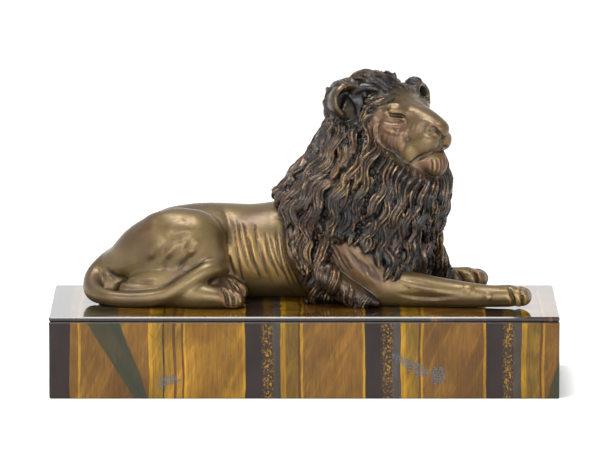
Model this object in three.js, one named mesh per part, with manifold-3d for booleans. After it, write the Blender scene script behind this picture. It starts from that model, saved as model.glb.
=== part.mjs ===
// A desk paperweight: a bronze lion, cast in one piece, lies on a rectangular plinth of banded golden
// stone that is closed by a thin polished slab of the same stone.
// Millimetres. +X is the way the lion points, +Y is away from its near side, +Z is up.
// The origin is the middle of the plinth's underside.
import * as THREE from 'three';
import { mergeVertices } from 'three/addons/utils/BufferGeometryUtils.js';
import Module from 'manifold-3d';

const wasm = await Module();
wasm.setup();

// Driving dimensions of the plinth.
const PLINTH_LENGTH = 180;
const PLINTH_WIDTH = 70;
const BLOCK_HEIGHT = 27.5;
const SLAB_THICKNESS = 1.75;
const ARRIS = 0.45;

// The lion is drawn from the slab's top, so its own z is a height above the stone.
const LION_FOOT = BLOCK_HEIGHT + SLAB_THICKNESS;
const MID_BODY_Y = 13;
const BREAST_Y = 10;

// The head is turned towards the near side and a little up. Its nose is the place it is set by.
const NOSE = [49.8, -8.5, 64.5];
const HEAD_YAW = -43;
const HEAD_PITCH = 5;

const UP = new THREE.Vector3(0, 0, 1);

const rad = THREE.MathUtils.degToRad;

// The way the face looks, in plan.
const FACING = new THREE.Vector3(1, 0, 0).applyAxisAngle(UP, rad(HEAD_YAW));

// A closed three.js geometry as a solid that can be joined and cut.
function solid(geometry) {
  geometry.deleteAttribute('normal');
  geometry.deleteAttribute('uv');
  const merged = mergeVertices(geometry, 1e-4);
  return new wasm.Manifold(new wasm.Mesh({
    numProp: 3,
    vertProperties: merged.attributes.position.array,
    triVerts: new Uint32Array(merged.index.array),
  }));
}

// A joined solid back as a geometry with flat faces.
function geometryOf(body) {
  const mesh = body.getMesh();
  const geometry = new THREE.BufferGeometry();
  geometry.setAttribute('position', new THREE.BufferAttribute(mesh.vertProperties, 3));
  geometry.setIndex(new THREE.BufferAttribute(mesh.triVerts, 1));
  const flat = geometry.toNonIndexed();
  flat.computeVertexNormals();
  return flat;
}

// A limb: a round-ended form along a smooth path. Each station is [x, y, z, side, lift], the middle of
// a section and its half sizes across and along the section's upward direction.
function limb(stations, { around = 12, rings = 10, caps = 2, up = UP, tip = 1 } = {}) {
  const path = new THREE.CatmullRomCurve3(stations.map(([x, y, z]) => new THREE.Vector3(x, y, z)));
  const sizes = new THREE.CatmullRomCurve3(stations.map((s) => new THREE.Vector3(s[3], s[4], 0)));
  const form = new THREE.SphereGeometry(1, around, rings);
  const position = form.attributes.position;
  const vertex = new THREE.Vector3();
  for (let i = 0; i < position.count; i++) {
    vertex.fromBufferAttribute(position, i);
    const ring = Math.round((Math.acos(THREE.MathUtils.clamp(vertex.y, -1, 1)) / Math.PI) * rings);
    const pastStart = Math.max(0, ring - (rings - caps));
    const pastEnd = Math.max(0, caps - ring);
    const cap = ((pastStart + pastEnd) / caps) * (Math.PI / 2);
    const u = THREE.MathUtils.clamp(1 - (ring - caps) / (rings - 2 * caps), 0, 1);
    const size = sizes.getPoint(u);
    const along = path.getTangent(u);
    const across = new THREE.Vector3().crossVectors(along, up).normalize();
    const lift = new THREE.Vector3().crossVectors(across, along);
    const shrink = Math.cos(cap) / (Math.hypot(vertex.x, vertex.z) || 1);
    const overrun = Math.sin(cap) * Math.sign(pastEnd - pastStart) * tip * (size.x + size.y) / 2;
    const point = path.getPoint(u)
      .addScaledVector(across, vertex.x * shrink * size.x)
      .addScaledVector(lift, vertex.z * shrink * size.y)
      .addScaledVector(along, overrun);
    position.setXYZ(i, point.x, point.y, point.z);
  }
  return form;
}

// An egg: a sphere with three half sizes, turned about x, y and z in degrees.
function egg([x, y, z], [rx, ry, rz], [ax, ay, az], { around, rings }) {
  return new THREE.SphereGeometry(1, around, rings)
    .rotateX(Math.PI / 2)
    .scale(rx, ry, rz)
    .rotateX(rad(ax))
    .rotateY(rad(ay))
    .rotateZ(rad(az))
    .translate(x, y, z);
}

// The trunk, lying along X from the rump to the breast.
function trunk() {
  return limb([
    [-63, 11, 10, 9, 9],
    [-56, 12, 13.4, 13, 13.1],
    [-46, MID_BODY_Y, 15.8, 15.5, 16.2],
    [-34, MID_BODY_Y, 16.5, 16, 17],
    [-18, MID_BODY_Y, 16.1, 16, 16.9],
    [-3, MID_BODY_Y, 17.1, 17, 17.9],
    [12, 11, 17.6, 18, 18.4],
    [28, 8, 17, 16, 16],
  ], { around: 14, rings: 11 });
}

// Four toes side by side at the end of a paw. The paw points along heading, in degrees from +X.
function toes([x, y, z], heading, spread, [long, wide, high]) {
  const ahead = new THREE.Vector2(Math.cos(rad(heading)), Math.sin(rad(heading)));
  return [-1.5, -0.5, 0.5, 1.5].map((place) => {
    const back = -0.55 * place * place;
    return egg(
      [x + ahead.x * back - ahead.y * place * spread, y + ahead.y * back + ahead.x * place * spread, z],
      [long, wide, high], [0, 14, heading], { around: 6, rings: 5 });
  });
}

// The hind quarters are rolled towards the near side, so both hind feet come out there.
function hindLegs() {
  const nearThigh = limb([
    [-65.5, 4, 11, 7, 8],
    [-57, 1, 15.8, 10, 12],
    [-46, -1.5, 19.8, 11.5, 14],
    [-39.5, -3, 20.5, 11, 13.2],
  ], { around: 12, rings: 10, caps: 3 });
  const nearShank = limb([
    [-33, -7, 17, 5.5, 7],
    [-42, -8, 11, 5.5, 6.5],
    [-54, -8.5, 7, 5, 5.5],
    [-62, -8, 5, 4, 4.5],
  ], { around: 8, rings: 8 });
  const nearFoot = limb([
    [-60, -9, 3.4, 3.5, 3.6],
    [-48, -12.5, 3.8, 4.2, 4],
    [-36, -15, 4.2, 4.8, 4.6],
    [-27, -15, 3.6, 5.2, 3.6],
  ], { around: 8, rings: 8, tip: 0.6 });
  const farFoot = limb([
    [-44, -3, 4.5, 5, 5],
    [-33, -4.5, 5.6, 4.8, 5],
    [-26, -4.5, 4.8, 5, 4.4],
  ], { around: 8, rings: 7, tip: 0.6 });
  const farThigh = limb([
    [-60, 19, 9, 7, 8.5],
    [-51, 21, 12.5, 10, 12],
    [-40, 22, 12.5, 11, 12.4],
    [-32, 21.5, 9, 9.5, 9],
  ], { around: 10, rings: 9, caps: 3 });
  return [
    nearThigh, nearShank, nearFoot, farFoot, farThigh,
    ...toes([-24, -15, 3], -4, 2.5, [3.6, 1.6, 3]),
    ...toes([-23, -4.5, 4], 0, 2.5, [3.6, 1.6, 3.4]),
  ];
}

// The tail leaves the rump, turns round on the slab and comes forward over the near hock.
function tail() {
  return limb([
    [-63, 9, 14.5, 7, 6.5],
    [-70, 7, 11.5, 5.4, 5],
    [-74.8, 3, 7.6, 4, 4.2],
    [-75.3, -4, 4.4, 3.2, 3.6],
    [-70, -11, 3, 3, 3.1],
    [-60, -14.5, 2.8, 3, 3],
    [-49, -16, 4.6, 3, 3],
    [-40, -15.5, 10, 3.1, 3.1],
    [-33, -13.5, 13.6, 3.2, 3.2],
    [-28.5, -10, 12.6, 2.4, 2.4],
  ], { around: 7, rings: 18 });
}

// A foreleg: shoulder, upper arm to the elbow, forearm to the wrist, and paw. side is -1 for the near one.
function foreleg(side, [elbowX, elbowY], [wristX, wristY], toeX) {
  const upperArm = limb([
    [elbowX - 16, elbowY - side * 6, 28, 7, 9],
    [elbowX - 9, elbowY - side * 1.5, 19, 8, 10],
    [elbowX + 1, elbowY, 8.5, 6.5, 8],
  ], { around: 9, rings: 7 });
  const reach = wristX - elbowX;
  const drift = wristY - elbowY;
  const forearm = limb([
    [elbowX - 2, elbowY, 6.2, 5.5, 6.8],
    [elbowX + reach * 0.25, elbowY + drift * 0.3, 6.1, 5.9, 6.5],
    [elbowX + reach * 0.6, elbowY + drift * 0.6, 4.9, 4.9, 5.3],
    [wristX, wristY, 4.2, 4.2, 4.1],
    [toeX - 8, wristY - 0.4, 4.4, 4.9, 4.1],
  ], { around: 9, rings: 9, tip: 0.7 });
  return [upperArm, forearm, ...toes([toeX - 3.6, wristY - 0.4, 4.1], 0, 2.6, [3.6, 1.75, 3.6])];
}

function forelegs() {
  return [
    ...foreleg(-1, [26, -8.5], [66, -15], 81.3),
    ...foreleg(1, [26, 21.5], [53, 25], 67.2),
  ];
}

// The mane's mass under its locks, as level sections: [height, x, y, half length, half width, yaw].
// Low down it lies along the body, and higher up it turns with the head.
const MANE = [
  [6, 28, 7.5, 13, 14, 0],
  [15, 24.3, 7, 19.5, 18.3, 0],
  [26, 19, 6.8, 27, 21, 0],
  [36, 19.2, 6.8, 31.2, 23, -3],
  [42, 22.5, 6.8, 28.5, 22.5, -8],
  [48, 24.5, 7.5, 25, 21, -18],
  [54, 22.8, 9.5, 18.5, 20, -32],
  [61, 22.6, 12.2, 12, 19.4, HEAD_YAW],
  [68, 23.8, 12.8, 9.4, 17.3, HEAD_YAW],
  [75, 24.6, 10.4, 8.2, 10.6, HEAD_YAW],
  [79, 24.6, 8.5, 6, 7, HEAD_YAW],
  [81, 24.4, 8, 2.5, 3.5, HEAD_YAW],
];
const MANE_FOOT = MANE[0][0];
const MANE_TOP = MANE.at(-1)[0];

// The mane's section at a height.
function maneSection(height) {
  const level = THREE.MathUtils.clamp(height, MANE_FOOT, MANE_TOP - 1e-3);
  const above = MANE.findIndex((section) => section[0] > level);
  const [low, high] = [MANE[above - 1], MANE[above]];
  const t = (level - low[0]) / (high[0] - low[0]);
  const [z, x, y, long, wide, yaw] = low.map((value, i) => THREE.MathUtils.lerp(value, high[i], t));
  return { middle: new THREE.Vector3(x, y, z), long, wide, turn: rad(yaw) };
}

// A point of the mane's surface at a height, in a plan direction given in degrees from +X.
function onMane(height, direction, out = 1) {
  const { middle, long, wide, turn } = maneSection(height);
  const local = rad(direction) - turn;
  const reach = out / Math.hypot(Math.cos(local) / long, Math.sin(local) / wide);
  return middle.add(new THREE.Vector3(reach, 0, 0).applyAxisAngle(UP, rad(direction)));
}

// The mane's locks hang in rows from the crown to the breast. A lock is four facets wide, and each row
// stands half a lock aside from the one above it, so that its locks come out between that row's tips.
const LOCKS_ROUND = 16;
const FACETS_ROUND = LOCKS_ROUND * 4;
const ROW_EDGES = [80.4, 74, 65, 54.5, 43, 31, 18];
const ROW_STEPS = [0, 0.45, 0.84];
// How far a lock stands out at each of those steps: on its crest, on its flanks, in the groove beside it.
const CREST = [0, 2, 2.2];
const FLANK = [0.4, 0.7, 0];
const GROOVE = [0, -1, -1];
// The hair is combed away from the face as it falls, in a shallow wave. Both are angles in degrees.
const COMBED_BACK = 26;
const WAVE = 5;
// How much higher or lower one lock's tip hangs than the next one's.
const STAGGER = 1.8;

function hairRings() {
  const rings = ROW_EDGES.slice(0, -1).flatMap((edge, row) => ROW_STEPS.map((t, step) => ({
    height: THREE.MathUtils.lerp(edge, ROW_EDGES[row + 1], t),
    fall: (row + t) / (ROW_EDGES.length - 1),
    relief: [CREST, FLANK, GROOVE, FLANK].map((profile) => profile[step]),
    aside: row % 2 ? 2 : 0,
  })));
  const flat = { fall: 1, relief: [0, 0, 0, 0], aside: 0 };
  return [...rings, { height: ROW_EDGES.at(-1), ...flat }, { height: MANE_FOOT, ...flat }];
}

function mane() {
  const hair = hairRings();
  const rings = hair.length + 1;
  const form = new THREE.SphereGeometry(1, FACETS_ROUND, rings);
  const position = form.attributes.position;
  const vertex = new THREE.Vector3();
  for (let i = 0; i < position.count; i++) {
    vertex.fromBufferAttribute(position, i);
    const ring = Math.round((Math.acos(THREE.MathUtils.clamp(vertex.y, -1, 1)) / Math.PI) * rings);
    const isPole = ring === 0 || ring === rings;
    const { height, fall, relief, aside } = hair[THREE.MathUtils.clamp(ring - 1, 0, hair.length - 1)];
    const turn = THREE.MathUtils.radToDeg(Math.atan2(-vertex.z, vertex.x));
    const facet = (Math.round((turn * FACETS_ROUND) / 360) + FACETS_ROUND) % FACETS_ROUND;
    const fromFace = rad(turn - HEAD_YAW);
    const each = 2.4 * Math.floor(facet / 4);
    const combed = COMBED_BACK * fall * Math.sin(fromFace) + WAVE * Math.sin(fall * 20 + each);
    const level = height + (isPole ? 0 : STAGGER * fall * Math.sin(each));
    const surface = onMane(level, turn + combed, isPole ? 0 : 1);
    const centre = onMane(level, 0, 0);
    const outward = surface.clone().sub(centre).normalize();
    const point = surface.addScaledVector(outward, relief[(facet + aside) % 4]);
    position.setXYZ(i, point.x, point.y, point.z);
  }
  return form;
}

// The tufts that stand on the crown, swept back from the brow.
function crownTufts() {
  const shape = { around: 6, rings: 6 };
  return [
    limb([
      [30.5, 6, 77.5, 2.2, 2],
      [26.5, 6, 81.3, 2.6, 2],
      [21.5, 6.5, 80.4, 2.6, 1.9],
      [17.6, 7, 78, 1.6, 1.4],
    ], shape),
    limb([
      [30, 2.5, 73, 2.2, 1.8],
      [25, 1.5, 76.5, 2.6, 1.8],
      [19.5, 2, 76.5, 2.4, 1.8],
      [15.5, 3, 73, 1.6, 1.4],
    ], shape),
    limb([
      [31.4, 8.5, 72, 2.4, 2.2],
      [31.6, 9, 76.5, 2, 1.9],
      [31, 9.5, 79.4, 1.3, 1.3],
    ], shape),
  ];
}

// The hair behind an elbow, hanging down the flank to the slab as three overlapping locks.
function flankFringe(side) {
  return [0, 1, 2].map((place) => limb([
    [-5 + place * 4, BREAST_Y + side * 12.5, 31 - place * 2, 3.5, 4],
    [-3 + place * 5, BREAST_Y + side * 15, 20, 4.5, 4.5],
    [1 + place * 6, BREAST_Y + side * 15.5, 9.5, 4.5, 4.5],
    [5.5 + place * 6, BREAST_Y + side * (16 - place * 0.5), 2, 3, 2.5],
  ], { around: 6, rings: 6 }));
}

// The hair of the breast: a bib below the chin, and a tuft that runs out over the far foreleg.
function breastHair() {
  return [
    limb([
      [42, 6, 51, 5, 4],
      [46.4, 5.5, 46.5, 6.5, 4],
      [46.8, 6, 38, 7.5, 3.5],
      [45, 7, 28, 6, 3],
    ], { around: 8, rings: 7, up: FACING }),
    limb([
      [42, 17, 27, 5, 5],
      [44, 19, 18, 5.5, 5],
      [47, 21.5, 10, 4.5, 4],
    ], { around: 7, rings: 7 }),
  ];
}

// The head is drawn with its nose at the origin and its face along +X, and then turned and placed.
const HEAD_PLACE = new THREE.Matrix4()
  .makeTranslation(...NOSE)
  .multiply(new THREE.Matrix4().makeRotationZ(rad(HEAD_YAW)))
  .multiply(new THREE.Matrix4().makeRotationY(rad(-HEAD_PITCH)));

function head() {
  const rough = { around: 8, rings: 6 };
  const skull = egg([-27, 0, 0.5], [13, 12, 12.3], [0, 0, 0], rough);
  const bridge = limb([
    [-1.9, 0, -0.9, 3.5, 2.7],
    [-5.6, 0, 0.8, 4.3, 3.4],
    [-9.5, 0, 2.4, 5, 3.8],
    [-14, 0, 4, 5.8, 4.2],
    [-19, 0, 5.6, 7.2, 4.6],
  ], { around: 8, rings: 7 });
  const nose = egg([-1.5, 0, -1.4], [1.9, 3.7, 3.2], [0, -12, 0], rough);
  const upperJaw = egg([-12, 0, -2.2], [9.8, 7.3, 7], [0, -10, 0], rough);
  const chin = egg([-4.8, 0, -13.8], [4.6, 4.9, 5], [0, 0, 0], rough);
  const lowerJaw = limb([
    [-6, 0, -13.4, 4.8, 4.2],
    [-20, 0, -9, 9.5, 6.5],
  ], rough);
  const halves = [-1, 1].flatMap((side) => {
    const whiskerPad = egg([-6.7, side * 3.9, -6.1], [6.1, 4, 4.3], [0, -22, side * -10], rough);
    const jowl = egg([-12.4, side * 6.6, -9.7], [4.8, 3, 5], [0, -30, 0], rough);
    const cheek = egg([-20, side * 6.9, -3.4], [8.6, 5.8, 9], [0, -20, side * -8], rough);
    const brow = egg([-16.4, side * 7.5, 5.9], [5.2, 3.5, 2.7], [0, 6, side * -38], rough);
    const lowerLid = egg([-17.2, side * 7.2, 1], [5, 3.2, 2.4], [0, 4, side * -34], rough);
    return [whiskerPad, jowl, cheek, brow, lowerLid, ear(side, 1)];
  });
  return [skull, bridge, nose, upperJaw, chin, lowerJaw, ...halves]
    .map((part) => part.applyMatrix4(HEAD_PLACE));
}

// An ear is a round shell. The smaller size, set farther forward, is the hollow that is cut from it.
function ear(side, size) {
  const forward = size < 1 ? 2.4 : 0;
  return egg([forward, 0, 0], [3.6, 6.2 * size, 5.6 * size], [0, 0, 0], { around: 8, rings: 6 })
    .rotateY(rad(-14))
    .rotateZ(rad(side * 20))
    .translate(-29, side * 16.4, 9);
}

function earHollows() {
  return [-1, 1].map((side) => ear(side, 0.7).applyMatrix4(HEAD_PLACE));
}

function lionFigure() {
  const forms = [
    trunk(), ...hindLegs(), tail(), ...forelegs(), ...head(),
    mane(), ...crownTufts(), ...breastHair(), ...flankFringe(-1), ...flankFringe(1),
  ];
  const below = new THREE.BoxGeometry(PLINTH_LENGTH * 2, PLINTH_WIDTH * 2, PLINTH_WIDTH)
    .translate(0, 0, -PLINTH_WIDTH / 2);
  const joined = forms.map(solid).reduce((whole, form) => whole.add(form));
  const cast = [...earHollows(), below].map(solid).reduce((whole, form) => whole.subtract(form), joined);
  const material = new THREE.MeshStandardMaterial({ color: 0x6b4c22, roughness: 0.38, metalness: 0.9 });
  const mesh = new THREE.Mesh(geometryOf(cast), material);
  mesh.name = 'lion_figure';
  mesh.position.z = LION_FOOT;
  return mesh;
}

// A rectangular piece of stone with a small arris taken off its upright edges.
function stone(name, height, material) {
  const half = new THREE.Vector2(PLINTH_LENGTH / 2, PLINTH_WIDTH / 2);
  const outline = new THREE.Shape([
    new THREE.Vector2(-half.x + ARRIS, -half.y),
    new THREE.Vector2(half.x - ARRIS, -half.y),
    new THREE.Vector2(half.x, -half.y + ARRIS),
    new THREE.Vector2(half.x, half.y - ARRIS),
    new THREE.Vector2(half.x - ARRIS, half.y),
    new THREE.Vector2(-half.x + ARRIS, half.y),
    new THREE.Vector2(-half.x, half.y - ARRIS),
    new THREE.Vector2(-half.x, -half.y + ARRIS),
  ]);
  const mesh = new THREE.Mesh(
    new THREE.ExtrudeGeometry(outline, { depth: height, bevelEnabled: false }), material);
  mesh.name = name;
  return mesh;
}

const bandedStone = new THREE.MeshStandardMaterial({ color: 0x8a5a1c, roughness: 0.15, metalness: 0 });
const darkStone = new THREE.MeshStandardMaterial({ color: 0x2c2118, roughness: 0.08, metalness: 0 });

const block = stone('plinth_block', BLOCK_HEIGHT, bandedStone);
const slab = stone('plinth_top_slab', SLAB_THICKNESS, darkStone);
slab.position.z = BLOCK_HEIGHT;

const paperweight = new THREE.Group();
paperweight.add(block, slab, lionFigure());

export default paperweight;
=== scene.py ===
# %% [markdown]
# # A bronze lion on a plinth of banded golden stone
#
# The object is a desk paperweight: a lion cast in bronze lies on a rectangular stone plinth, and a thin
# polished slab of the same stone closes the plinth. A frame with the three pieces at their real size
# is loaded first, so every new mesh is made in its place and nothing is fitted afterwards.
#
# The lion is built as a sculptor builds one. Rough forms are laid on each other, fused to one skin and
# smoothed; then the mane's locks go on, the face and muscles are pressed in with strokes, and the
# finished skin gets a bronze patina that is dark in its hollows and rubbed bright on its ridges.

# %% The frame
import math
import random

import bmesh
import bpy
import numpy as np
from mathutils import Matrix, Vector, noise
from mathutils.bvhtree import BVHTree


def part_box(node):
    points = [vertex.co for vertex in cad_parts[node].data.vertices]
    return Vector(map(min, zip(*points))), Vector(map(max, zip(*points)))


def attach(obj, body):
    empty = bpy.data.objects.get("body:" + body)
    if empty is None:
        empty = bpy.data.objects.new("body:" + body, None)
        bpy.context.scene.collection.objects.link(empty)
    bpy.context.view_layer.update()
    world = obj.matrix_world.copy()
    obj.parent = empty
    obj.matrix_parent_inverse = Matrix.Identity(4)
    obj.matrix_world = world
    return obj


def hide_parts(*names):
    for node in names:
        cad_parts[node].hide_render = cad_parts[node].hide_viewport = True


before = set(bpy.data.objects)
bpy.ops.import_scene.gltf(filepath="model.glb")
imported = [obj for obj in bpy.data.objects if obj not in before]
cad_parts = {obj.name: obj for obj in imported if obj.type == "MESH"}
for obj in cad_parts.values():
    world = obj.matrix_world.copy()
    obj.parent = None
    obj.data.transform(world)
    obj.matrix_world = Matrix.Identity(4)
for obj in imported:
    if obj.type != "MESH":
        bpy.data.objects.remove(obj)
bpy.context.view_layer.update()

foot_of_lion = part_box("lion_figure")[0].z
print("lion stands at", round(foot_of_lion * 1000, 2), "mm")

# %% [markdown]
# ## Clay forms
#
# Two shapes make nearly all of the lion. A limb is a sphere stretched along a smooth path, with a half
# width and a half height at each station. An egg is a sphere with three half sizes. Both start from
# the operator that makes a UV sphere, and only move its vertices, so they are always closed.
#
# The figure is drawn in millimetres above the slab, because its parts are a few millimetres big, and
# is turned to metres once, at the end.

# %% A smooth path through a few stations
UP = (0, 0, 1)
# The side that faces the camera has y below 0, in the figure and in the face alike.
NEAR, FAR = -1, 1
SIDES = (NEAR, FAR)


def smooth_path(points, u):
    """Points at the parameters u, from 0 to 1, of a centripetal Catmull-Rom curve."""
    points = np.asarray(points, float)
    ends = np.vstack([2 * points[0] - points[1], points, 2 * points[-1] - points[-2]])
    place = np.clip(u, 0, 1) * (len(points) - 1)
    first = np.minimum(place.astype(int), len(points) - 2)
    w = (place - first)[:, None]
    p0, p1, p2, p3 = (ends[first + k] for k in range(4))
    d0, d1, d2 = (
        np.maximum(np.sum((b - a) ** 2, axis=1), 1e-6)[:, None] ** 0.25
        for a, b in ((p0, p1), (p1, p2), (p2, p3))
    )
    leave = ((p1 - p0) / d0 - (p2 - p0) / (d0 + d1) + (p2 - p1) / d1) * d1
    enter = ((p2 - p1) / d1 - (p3 - p1) / (d1 + d2) + (p3 - p2) / d2) * d1
    bend = 3 * (p2 - p1) - 2 * leave - enter
    return p1 + w * leave + w**2 * bend + w**3 * (2 * (p1 - p2) + leave + enter)


def unit_rows(vectors):
    """Each row at length 1."""
    return vectors / np.maximum(np.linalg.norm(vectors, axis=1), 1e-9)[:, None]


# %% Spheres in the clay
spare = bpy.data.meshes.new("spare")


def add_form(clay, form):
    """Moves a small bmesh into the clay. A form is made apart, because operators slow as a bmesh grows."""
    form.to_mesh(spare)
    form.free()
    clay.from_mesh(spare)


def ball(around, rings):
    """A sphere in a bmesh of its own, and where its vertices are."""
    form = bmesh.new()
    bmesh.ops.create_uvsphere(form, u_segments=around, v_segments=rings, radius=1)
    return form, np.array([vert.co for vert in form.verts])


def move_to(form, points):
    """Gives each vertex of a form its new place."""
    for vert, point in zip(form.verts, points):
        vert.co = point


# %% Limbs
RIDGE_DEPTH = 0.4


def limb(clay, stations, up=UP, tip=1.0, around=28, rings=26, caps=6, ridges=0, place=Matrix()):
    """A round-ended form along a path. A station is (x, y, z, half width, half height)."""
    form, unit = ball(around, rings)
    ring = np.rint(np.arccos(np.clip(unit[:, 2], -1, 1)) / np.pi * rings)
    past_start = np.clip(ring - (rings - caps), 0, None)
    past_end = np.clip(caps - ring, 0, None)
    cap = (past_start + past_end) / caps * np.pi / 2
    u = np.clip(1 - (ring - caps) / (rings - 2 * caps), 0, 1)
    stations = np.asarray(stations, float)
    path = stations[:, :3]
    size = smooth_path(stations[:, 3:5], u)
    along = unit_rows(smooth_path(path, u + 0.002) - smooth_path(path, u - 0.002))
    upward = np.asarray(up, float)
    if upward.ndim == 2:
        upward = smooth_path(upward, u)
    across = unit_rows(np.cross(along, upward))
    lift = np.cross(across, along)
    shrink = np.cos(cap) / np.maximum(np.hypot(unit[:, 0], unit[:, 1]), 1e-6)
    side = unit[:, 0] * shrink
    rise = unit[:, 1] * shrink
    if ridges:
        rise = rise * np.where(rise > 0, 1 + RIDGE_DEPTH * np.cos(ridges * np.pi * side), 1)
    overrun = np.sin(cap) * np.sign(past_end - past_start) * tip * size.mean(axis=1)
    points = smooth_path(path, u) + across * (side * size[:, 0])[:, None]
    points += lift * (rise * size[:, 1])[:, None] + along * overrun[:, None]
    move_to(form, points)
    bmesh.ops.transform(form, matrix=place, verts=form.verts)
    add_form(clay, form)


# %% Eggs
def turned(ax, ay, az):
    """A turn about x, then y, then z, in degrees."""
    about_x, about_y, about_z = (
        Matrix.Rotation(math.radians(angle), 4, axis) for angle, axis in ((ax, "X"), (ay, "Y"), (az, "Z"))
    )
    return about_z @ about_y @ about_x


def egg(clay, middle, half_sizes, turn=(0, 0, 0), place=Matrix()):
    """A sphere with three half sizes, turned and placed."""
    matrix = place @ Matrix.Translation(middle) @ turned(*turn) @ Matrix.Diagonal((*half_sizes, 1))
    form = bmesh.new()
    bmesh.ops.create_uvsphere(form, u_segments=28, v_segments=18, radius=1, matrix=matrix)
    add_form(clay, form)


# %% [markdown]
# ## Fusing and smoothing
#
# Overlapping forms become one skin with the Remesh modifier in voxel mode, which keeps only the outer
# surface. The seams between limbs are then sharp, as between lumps of clay that were just put
# together. Moving each vertex towards the middle of its neighbours, again and again, works the
# seams in, and a weight for each vertex keeps that away from what should stay crisp.

# %% Fuse
def mesh_from(clay, name):
    """A bmesh as a new mesh. The bmesh is freed."""
    mesh = bpy.data.meshes.new(name)
    clay.to_mesh(mesh)
    clay.free()
    return mesh


def new_object(name, data):
    """An object in the scene, from a mesh, a camera or a light."""
    made = bpy.data.objects.new(name, data)
    bpy.context.scene.collection.objects.link(made)
    return made


def with_modifier(mesh, kind, **settings):
    """A mesh as one modifier leaves it. The mesh given is removed."""
    carrier = new_object(kind, mesh)
    modifier = carrier.modifiers.new(kind, kind)
    for setting, value in settings.items():
        setattr(modifier, setting, value)
    changed = bpy.data.meshes.new_from_object(carrier.evaluated_get(bpy.context.evaluated_depsgraph_get()))
    bpy.data.objects.remove(carrier)
    bpy.data.meshes.remove(mesh)
    return changed


def fuse(clay, voxel, name):
    """The forms of a bmesh as one closed mesh."""
    fused = with_modifier(mesh_from(clay, name), "REMESH", mode="VOXEL", voxel_size=voxel)
    print(f"{name}: {len(fused.vertices)} vertices")
    return fused


# %% Read, relax and search a mesh
def points_of(mesh):
    co = np.empty(len(mesh.vertices) * 3, np.float32)
    mesh.vertices.foreach_get("co", co)
    return co.reshape(-1, 3).astype(float)


def set_points(mesh, points):
    mesh.vertices.foreach_set("co", points.astype(np.float32).ravel())
    mesh.update()


def normals_of(mesh):
    normal = np.empty(len(mesh.vertices) * 3, np.float32)
    mesh.vertex_normals.foreach_get("vector", normal)
    return normal.reshape(-1, 3).astype(float)


def relaxed(points, edges, weight, rounds):
    """The points after each has moved towards the middle of its neighbours, by weight from 0 to 1."""
    points = points.copy()
    start, end = edges[:, 0], edges[:, 1]
    count = np.bincount(edges.ravel(), minlength=len(points)).astype(float)
    share = (np.broadcast_to(weight, len(points)) / np.maximum(count, 1))[:, None]
    for _ in range(rounds):
        total = np.empty_like(points)
        for axis in range(3):
            value = points[:, axis]
            total[:, axis] = np.bincount(start, value[end], len(points))
            total[:, axis] += np.bincount(end, value[start], len(points))
        points += share * (total - points * count[:, None])
    return points


def edges_of(mesh):
    edges = np.empty(len(mesh.edges) * 2, np.int32)
    mesh.edges.foreach_get("vertices", edges)
    return edges.reshape(-1, 2)


def relax(mesh, rounds, weight=0.6):
    set_points(mesh, relaxed(points_of(mesh), edges_of(mesh), weight, rounds))


def tree_of(mesh):
    """A tree that finds the nearest point of a mesh's surface."""
    faces = [face.vertices for face in mesh.polygons]
    return BVHTree.FromPolygons([vert.co for vert in mesh.vertices], faces)


# %% [markdown]
# ## The body
#
# A trunk, the hind quarters rolled towards the near side, the tail that turns round on the slab, and
# two forelegs with their paws. The thighs and the upper arms are forms of their own under the skin, so
# that smoothing leaves their swell.

# %% Trunk
MID_BODY = 13


def trunk(clay):
    """Rump, belly, ribs and chest, from the back to the front."""
    limb(clay, [
        (-63, 11, 10, 9, 9),
        (-56, 12, 13.4, 13, 13.1),
        (-46, MID_BODY, 15.8, 15.5, 16.2),
        (-34, MID_BODY, 16.5, 16, 17),
        (-18, MID_BODY, 16.1, 16, 16.9),
        (-3, MID_BODY, 17.1, 17, 17.9),
        (12, 11, 17.6, 18, 18.4),
        (28, 8, 17, 16, 16),
    ], around=48, rings=40)


# %% Hind legs
def toes(clay, tip_of_paw, heading, spread, half_sizes):
    """Four toes side by side. The paw points along heading, in degrees from +X."""
    x, y, z = tip_of_paw
    ahead = Vector((math.cos(math.radians(heading)), math.sin(math.radians(heading))))
    for place in (-1.5, -0.5, 0.5, 1.5):
        back = -0.55 * place * place
        middle = (
            x + ahead.x * back - ahead.y * place * spread,
            y + ahead.y * back + ahead.x * place * spread,
            z,
        )
        egg(clay, middle, half_sizes, (0, 14, heading))


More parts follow.
